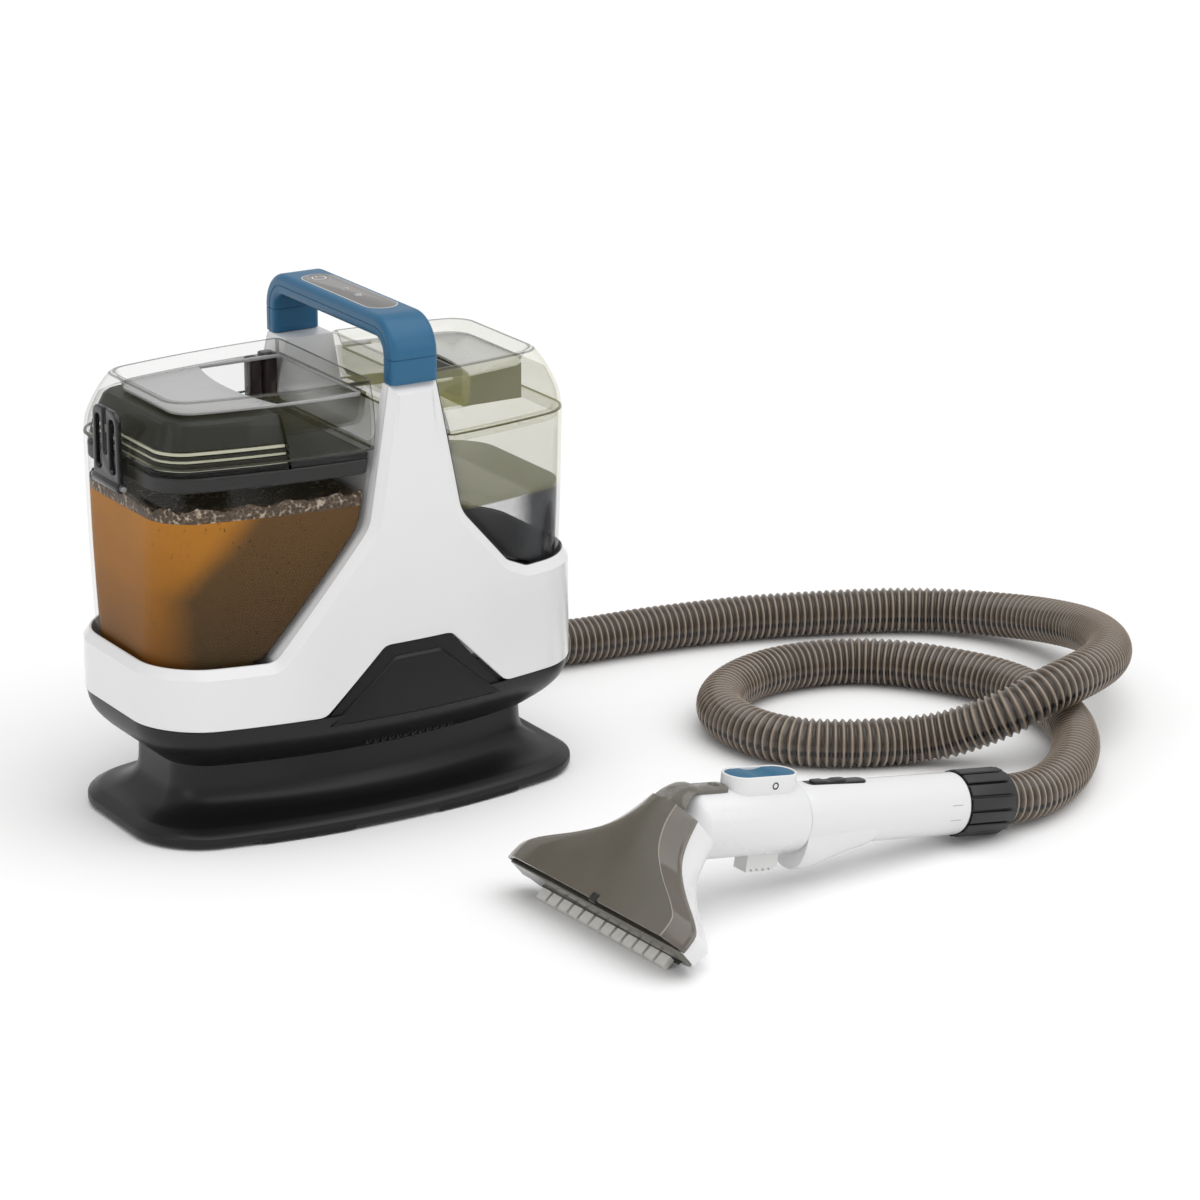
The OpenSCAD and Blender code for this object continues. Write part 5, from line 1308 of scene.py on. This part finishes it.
hook = cut_solid("latch_hook", prism(hook_side, -6, 6), latch_black, (), 0.8)
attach(hook, "dirty_latch")
hinge = prism(circle(latch_x + 2, latch_low, 4, 32), -latch_w / 2, latch_w / 2)
hinge_piece = cut_solid("latch_hinge", hinge, latch_black, (), 0.6)
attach(hinge_piece, "dirty_latch")
give(plated_steel, "latch_pin")

# ------------------------------------------------------------------ hose elbow and cord gland
# The black elbow that turns the hose at the back, its collar, and the gland the mains cord
# would leave by, are moulded in the housing's black.

give(black_plastic, "hose_port", "hose_elbow", "cord_gland")
for name in ("hose_port", "hose_elbow", "cord_gland"):
    node[name].data.shade_smooth()
    node[name].data.set_sharp_from_angle(angle=math.radians(35))

# ------------------------------------------------------------------ hand tool: nozzle
# The tool lies on the floor at the hose's end. Its white nozzle body is a fan under a smoky
# clear cover, through which the dirty water can be seen, and a brush stands at its mouth.

tool_yaw, wand_tilt = math.radians(3), math.radians(98.3)
tool_x, tool_y, wand_x, wand_z = 2.0, -355.0, 167.0, 50.4
face_tilt, lip_x, lip_z, face_l = math.radians(39.6), 5.0, 22.0, 84.0
cover_h, nozzle_d, swell = 12.0, 27.0, 5.0
wand_r, wand_l, barrel_r, barrel_l = 22.0, 143.0, 24.5, 84.0


def in_tool(x, y, z):
    """From the tool's own frame: X along it to the hose and Z up, from its mouth."""
    return (tool_x + x * math.cos(tool_yaw) - y * math.sin(tool_yaw),
            tool_y + x * math.sin(tool_yaw) + y * math.cos(tool_yaw), z)


def in_wand(x, y, z):
    """From the wand's own frame: X to its underside and Z to the hose, from the barrel's end."""
    return in_tool(wand_x + x * math.cos(wand_tilt) + z * math.sin(wand_tilt), y,
                   wand_z - x * math.sin(wand_tilt) + z * math.cos(wand_tilt))


def on_face(t, w, h):
    """A point t along the nozzle's sloping face, w across it and h out from it."""
    return in_tool(lip_x + t * math.cos(face_tilt) - h * math.sin(face_tilt), w,
                   lip_z + t * math.sin(face_tilt) + h * math.cos(face_tilt))


def move_to(piece, where):
    """Puts a finished piece, made in its own frame, in its place on the tool."""
    for vertex in piece.data.vertices:
        vertex.co = Vector(where(*(vertex.co / MM))) * MM
    face_outward(piece.data)
    return piece


def turned(profile, sides=64):
    """A closed solid of revolution about Z from (radius, height) points."""
    return ring_stack([[(x, y, z) for x, y in circle(0, 0, r, sides)] for r, z in profile])


# share of the face's length, half width
fan = [(0, 101), (0.06, 101), (0.17, 99), (0.24, 92), (0.31, 82), (0.4, 68), (0.49, 56), (0.58, 46),
       (0.66, 39.5), (0.76, 34), (0.88, 29.5), (1.0, 26)]
shares = [0, 0.02, 0.05, 0.09, 0.13, 0.17, 0.2, 0.24, 0.28, 0.32, 0.36, 0.4, 0.45, 0.5, 0.55, 0.6, 0.65,
          0.7, 0.75, 0.8, 0.85, 0.9, 0.95, 1.0]
fan_rows = curve_between(fan, shares)


def shoulder(half):
    """How far the cover's round shoulder reaches in from its edge."""
    return min(15, half * 0.5)


def cover_section(t, half, wall):
    """Across the cover: a rim, a quick rise with a round shoulder, and a gently crowned plate."""
    w, top = half - wall, cover_h - wall
    side = shoulder(w)
    rim = w + (1.2 if wall == 0 else 0)
    rise = [(w - side * across, 1.2 + (top - 1.2) * up) for across, up in
            ((0.0, 0.1), (0.06, 0.24), (0.3, 0.44), (0.6, 0.69), (0.9, 0.94), (0.97, 0.99), (1.04, 1.0))]
    flat = [((w - side) * s, top + 0.5 * (1 - s * s)) for s in (0.8, 0.5, 0.2)]
    half_line = [(rim, 0.15), (rim, 1.2 - wall * 0.3)] + rise + flat
    return [on_face(t, x, h) for x, h in half_line] + \
        [on_face(t, -x, h) for x, h in reversed(half_line)]


cover_rings = [cover_section(t * face_l, half, 0) for t, half in reversed(fan_rows)]
cover_rings += [cover_section(t * face_l, half, 2.0) for t, half in fan_rows[:-2]]
smoky_cover = clear_material("smoky brown clear cover", (0.122, 0.112, 0.090), 0.93, 0.97, 0.14)
cover = link_mesh("cover_hood", ring_stack(cover_rings), smoky_cover, 16)
# The cover's flanks are painted a lighter brown than its plate as painted light, and a fine pale bead
# runs along each crease as a painted highlight.
cover.data.materials.append(clear_material("clear cover flank, painted lighter", (0.128, 0.110, 0.090), 0.86, 0.96, 0.12))
section_points = len(cover_rings[0])
flank_faces = set(range(1, 7)) | set(range(section_points - 8, section_points - 2))
for face in cover.data.polygons:
    if face.index < section_points * (len(fan_rows) - 1) and face.index % section_points in flank_faces:
        face.material_index = 1
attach(cover, "nozzle_cover")
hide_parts("nozzle_cover")
crease_highlight = uneven_gloss(new_material("painted crease highlight", (0.30, 0.27, 0.23), 0.15), 80.0, 0.12, 0.25)
for s, end in ((-1, "front"), (1, "back")):
    bead_rings = [[on_face(t * face_l, s * (half - shoulder(half)) + 0.7 * math.cos(a),
                           cover_h - 0.1 + 0.5 * math.sin(a))
                   for a in np.linspace(0, math.tau, 8, False)] for t, half in fan_rows]
    bead = link_mesh("cover_bead_" + end, ring_stack(bead_rings), crease_highlight, 60)
    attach(bead, "nozzle_cover")

tool_white = moulded_material("tool white plastic", (0.74, 0.74, 0.745), 0.26, 0.03,
                              (0.6, 0.59, 0.55), 700.0, 0.000012, Coat_Weight=0.2,
                              Coat_Roughness=0.1)


def body_section(t, half, depth, wall):
    """Across the nozzle's body: flat under the cover, with a full round belly."""
    w, low = half - wall, depth - wall
    top = [(w * s, -0.3 - wall) for s in (0.98, 0.8, 0.5, 0.2, -0.2, -0.5, -0.8, -0.98)]
    belly = []
    for a in np.radians(np.linspace(180, 360, 25)):
        c, s = math.cos(a), math.sin(a)
        belly.append((w * math.copysign(abs(c) ** 0.36, c), -0.8 - wall - (low - 0.8) * abs(s) ** 0.55))
    return [on_face(t, x, h) for x, h in top + belly]


def body_depth(share):
    """How deep the nozzle's body is at a share of its face; it swells behind the mouth."""
    return nozzle_d + min(1, share / 0.17) * swell


body_rings = [body_section(t * face_l, half - 0.8, body_depth(t), 0) for t, half in reversed(fan_rows)]
body_rings += [body_section(t * face_l, half - 0.8, body_depth(t), 3.0) for t, half in fan_rows[:-4]]
nozzle = link_mesh("nozzle_shell", ring_stack(body_rings), tool_white, 38)
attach(nozzle, "machine")
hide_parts("nozzle_body")
dome = [(barrel_r * math.sin(a) + 0.01, -barrel_l - barrel_r * 0.55 * math.cos(a))
        for a in np.radians([0, 8, 20, 32, 44, 56, 68, 80])]
barrel = link_mesh("barrel", turned(dome + [(barrel_r, -barrel_l), (barrel_r, -barrel_l / 2),
                   (barrel_r, -1.1), (barrel_r - 0.25, -0.6), (barrel_r - 0.9, -0.35)]), tool_white, 35)
move_to(barrel, in_wand)
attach(barrel, "machine")

# Bristles stand in twelve tufts along the mouth, set in a dark bar painted as the shade behind them.
bristle_white = uneven_gloss(new_material("nylon bristle", (0.83, 0.82, 0.78), 0.45), 400.0, 0.38, 0.6)
tuft_count, tuft_pitch = 12, 12.6
bar_half = tuft_count * tuft_pitch / 2
bar_section = [(-1.6, 1.75 - nozzle_d), (4, 1.75 - nozzle_d), (4, -15.6), (-0.9, -15.6), (-1.6, -16.2)]
bar_shade = moulded_material("shaded bar", (0.035, 0.032, 0.028), 0.5, 0.0)
bar_piece = link_mesh("brush_bar", prism(bar_section, -bar_half, bar_half), bar_shade, 30)
move_to(bar_piece, on_face)
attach(bar_piece, "machine")
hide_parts("brush_strip")

bristle = turned([(0.36, 0), (0.36, 8.0), (0.22, 9.9)], 5)
bristle_rows = []
for k, depth in enumerate((-1.8, -0.6, 0.6, 1.8)):
    shift = 0.15 * (k % 2)
    bristle_rows.append(row_of("bristles", [(-4.8 + shift, depth, 0), (4.65 + shift, depth, 0)],
                               bristle, 14, bristle_white).data)
tuft = bmesh.new()
for mesh in bristle_rows:
    tuft.from_mesh(mesh)
tuft_mesh = bpy.data.meshes.new("tuft")
tuft.to_mesh(tuft_mesh)
tuft.free()
for piece in [p for p in bpy.data.objects if p.name.startswith("bristles")]:
    bpy.data.objects.remove(piece)
tufts = row_of("brush_tufts", [(-bar_half + tuft_pitch / 2, 0, 0), (bar_half - tuft_pitch / 2, 0, 0)],
               tuft_mesh, tuft_count, bristle_white, 60)
move_to(tufts, lambda x, y, z: on_face(0.2 - z, x, -18.6 + y))
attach(tufts, "machine")
# The cover's own lip turns down over the mouth.
lip_section, lip_half = [(-1.3, 1.2), (0.3, 1.2), (0.3, -14.6), (-1.3, -14.6)], 98
mouth_lip = cut_solid("mouth_lip", prism(lip_section, -lip_half, lip_half), smoky_cover, (), 0.5, 2)
move_to(mouth_lip, on_face)
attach(mouth_lip, "nozzle_cover")
spray_black = moulded_material("spray nozzle black", (0.012, 0.012, 0.012), 0.4, 0.0)
give(spray_black, "spray_nozzle")
# A low black cap sits on the cover at its mouth, a little to the front of its middle.
cap_section, cap_y, cap_half = [(-1.9, 10.0), (-1.9, 13.1), (4.5, 13.4), (4.5, 10.0)], -10.0, 3.5
jet_cap = cut_solid("jet_cap", prism(cap_section, cap_y - cap_half, cap_y + cap_half), spray_black,
                    (), 0.6, 2)
move_to(jet_cap, on_face)
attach(jet_cap, "nozzle_cover")

# The clear cover's neck runs on as a strap over the barrel, with a round hole for the
# button's hook. Each row: the place along the wand, how high it stands and its half width.
strap_rows = [(-111.5, -13.5, 20), (-108.5, -18.5, 19), (-105, -22.6, 17.5), (-101, -25.6, 15.5),
              (-97, -27.6, 13), (-93.5, -28.7, 11), (-90, -28.7, 9.6), (-86.5, -27.6, 9.0),
              (-83, -27.0, 9.0), (-76, -27.0, 9.0), (-68, -27.0, 9.0), (-63.4, -27.0, 8.6),
              (-62.4, -27.0, 7.6)]
strap_t, strap_round = 2.3, 52
strap_rings = []
for z, rise, half in strap_rows:
    across = [(rise + (half * s) ** 2 / strap_round, half * s, z) for s in np.linspace(-1, 1, 11)]
    strap_rings.append(across + [(x + strap_t, y, z) for x, y, z in reversed(across)])
hole_z = -barrel_l + 14
strap_hole = prism(circle(0, hole_z, 4, 40), -60, 10, "X")
clip = cut_solid("cover_strap", ring_stack(strap_rings), smoky_cover, [strap_hole])
move_to(clip, in_wand)
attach(clip, "nozzle_cover")
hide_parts("cover_clip")

# ------------------------------------------------------------------ hand tool: release button
# An oval pod on the barrel holds the blue button that frees the nozzle's cover; the thumb
# presses its hollow top, and two pins in the pod's sides hold it.

pod_l, pod_w, pod_z0, pod_high = 58.0, 26.0, -61.0, 17.0
pod_top = -barrel_r - 9.0
pod_mid = pod_z0 + pod_l / 2
# In the wand's frame the pod's outline lies in Y and Z, and the pod rises towards -X.
pod_well = pill(0, pod_mid, 22.2, pod_l - 3.8, 11.0, pod_top - 5, pod_top + 6, "X")
pod = cut_solid("pod_shell", pill(0, pod_mid, pod_w, pod_l, 12.9, pod_top, pod_top + pod_high, "X"),
                tool_white, [pod_well], 0.7)
move_to(pod, in_wand)
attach(pod, "machine")
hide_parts("button_pod")
press_blue = moulded_material("blue button", (0.020, 0.118, 0.215), 0.45, 0.03, (0.2, 0.3, 0.4), 900.0,
                              0.00001, Specular_IOR_Level=0.2)
hollow = prism(circle(pod_top + 1.9 - 30, pod_mid, 30, 128), -30, 30)
button = cut_solid("button_cap", pill(0, pod_mid, 21.6, pod_l - 4.4, 10.7, pod_top + 0.3,
                                      pod_top + 2.7, "X"), press_blue, [hollow], 0.5)
move_to(button, in_wand)
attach(button, "release_button")
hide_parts("release_button")
give(plated_steel, "pod_pin")
pin_ring = turned([(2.6, -0.3), (2.6, 0.12), (2.2, 0.3), (1.6, 0.05), (1.4, -0.4)], 32)
for s, end in ((-1, "front"), (1, "back")):
    collar = link_mesh("pod_pin_collar_" + end, pin_ring.copy(),
                       spray_black, 30)
    move_to(collar, lambda x, y, z: in_wand(-barrel_r - 2.2 + x, s * (pod_w / 2 + z),
                                            pod_mid + 5 + y * s))
    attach(collar, "machine")

# ------------------------------------------------------------------ hand tool: wand and cuff
# The white wand is a tapering tube with a guard under its front for the trigger, a steam and
# spray slider on top, and a ribbed black cuff that holds the hose.

wand_profile = [(wand_r - 0.6, 0.15), (wand_r + 1.1, 0.5), (wand_r + 1.5, 1.1), (wand_r + 1.35, 12),
                (wand_r + 0.9, 30), (wand_r + 0.3, 50), (wand_r, 66), (wand_r, wand_l - 2.2),
                (wand_r - 0.3, wand_l - 0.8), (wand_r - 1.2, wand_l - 0.1)]
slot = pill(0, 34, 10.6, 53, 5.2, -wand_r - 8, -wand_r + 3.4, "X")
wand = cut_solid("wand_tube", turned(wand_profile, 72), tool_white, [slot], 0.35, 2)
move_to(wand, in_wand)
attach(wand, "machine")
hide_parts("wand_shell")
inset = cut_solid("slider_inset", pill(0, 34, 10.0, 52.4, 4.9, -wand_r - 0.9, -wand_r + 4, "X"),
                  black_plastic, (), 0.5)
move_to(inset, in_wand)
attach(inset, "machine")
thumb_hollow = prism(circle(-wand_r - 17.6, 28, 16, 96), -9, 9)
knob = cut_solid("slider_knob", pill(0, 28, 7.4, 30, 3.6, -wand_r - 2.4, -wand_r + 0.5, "X"),
                 spray_black, [thumb_hollow], 0.5)
move_to(knob, in_wand)
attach(knob, "thumb_slider")
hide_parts("thumb_slider")

guard_rows = [(0.8, 36.0), (1.4, 37.0), (10, 37.2), (18, 35.6), (26, 32.6), (36, 29.0), (46, 26.0),
              (56, 23.8), (64, 22.2), (70, 20.6)]
guard_rings = []
for z, deep in guard_rows:
    wide = 21.6 if deep > 24 else 21.6 - (24 - deep) * 0.55
    pinch = 1.0 if deep < 23 else 0.82
    bow = []
    for a in np.linspace(-math.pi / 2, math.pi / 2, 33):
        out = (deep - 4) * abs(math.cos(a)) ** pinch if abs(a) < math.pi / 2 - 0.01 else 0.0
        bow.append((4 + out, wide * math.copysign(abs(math.sin(a)) ** pinch, a), z))
    guard_rings.append(bow + [(0, wide * 0.6, z), (0, -wide * 0.6, z)])
guard_piece = cut_solid("trigger_guard", ring_stack(guard_rings), tool_white)
move_to(guard_piece, in_wand)
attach(guard_piece, "machine")
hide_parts("belly_cover")

trigger_white = moulded_material("trigger white", (0.70, 0.70, 0.69), 0.3, 0.05)
give(trigger_white, "trigger")
give(plated_steel, "trigger_pin")
give(moulded_material("latch grey", (0.42, 0.42, 0.42), 0.35, 0.0), "cuff_latch")

cuff_r, cuff_l, rib_count, rib_half = 21.5, 43.0, 14, 11.4
cuff_rubber = moulded_material("cuff rubber", (0.012, 0.012, 0.013), 0.42, 0.1, (0.08, 0.08, 0.08))
rib_top = [(cuff_r * math.sin(a), cuff_r * (math.cos(a) - 1)) for a in
           np.radians(np.linspace(rib_half, -rib_half, 7))]
rib = cut_solid("cuff_rib_shape", prism([(-3.6, -1.6), (3.6, -1.6), *rib_top], wand_l + 0.6,
                                        wand_l + cuff_l - 4, "Z"), cuff_rubber, (), 0.4).data
cuff_line = [(cuff_r * math.cos(a), cuff_r * math.sin(a), 0)
             for a in np.linspace(0, math.tau * (1 - 1 / rib_count), 131)]
ribs = row_of("cuff_ribs", cuff_line, rib, rib_count, cuff_rubber)
bpy.data.objects.remove(bpy.data.objects["cuff_rib_shape"])
move_to(ribs, in_wand)
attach(ribs, "machine")
give(cuff_rubber, "cuff")

# ------------------------------------------------------------------ works inside
# What the shells hide, the motor, fan, pump, valves and board, keep their plain solids and
# get the look of what they are made of.

motor_steel = uneven_gloss(new_material("motor steel", (0.42, 0.42, 0.44), 0.38, 1.0), 90.0, 0.28, 0.5)
grey_plastic = moulded_material("inner grey plastic", (0.09, 0.09, 0.095), 0.5, 0.2)
board_green = uneven_gloss(new_material("circuit board", (0.010, 0.085, 0.035), 0.4), 500.0, 0.3, 0.55)
float_cream = moulded_material("float foam", (0.62, 0.60, 0.53), 0.6, 0.2)
inner_tube = uneven_gloss(new_material("solution tube", (0.03, 0.025, 0.02), 0.35), 60.0, 0.3, 0.45)
give(motor_steel, "vacuum_motor", "motor_ring", "impeller")
give(grey_plastic, "fan_case", "pump", "deck", "strainer", "power_switch")
give(clear_plastic, "clean_gasket")
give(separator_black, "float_cage", "clean_valve", "dock_valve")
give(float_cream, "float_valve")
give(plated_steel, "valve_plunger")
give(board_green, "control_board")
give(inner_tube, "solution_tube")
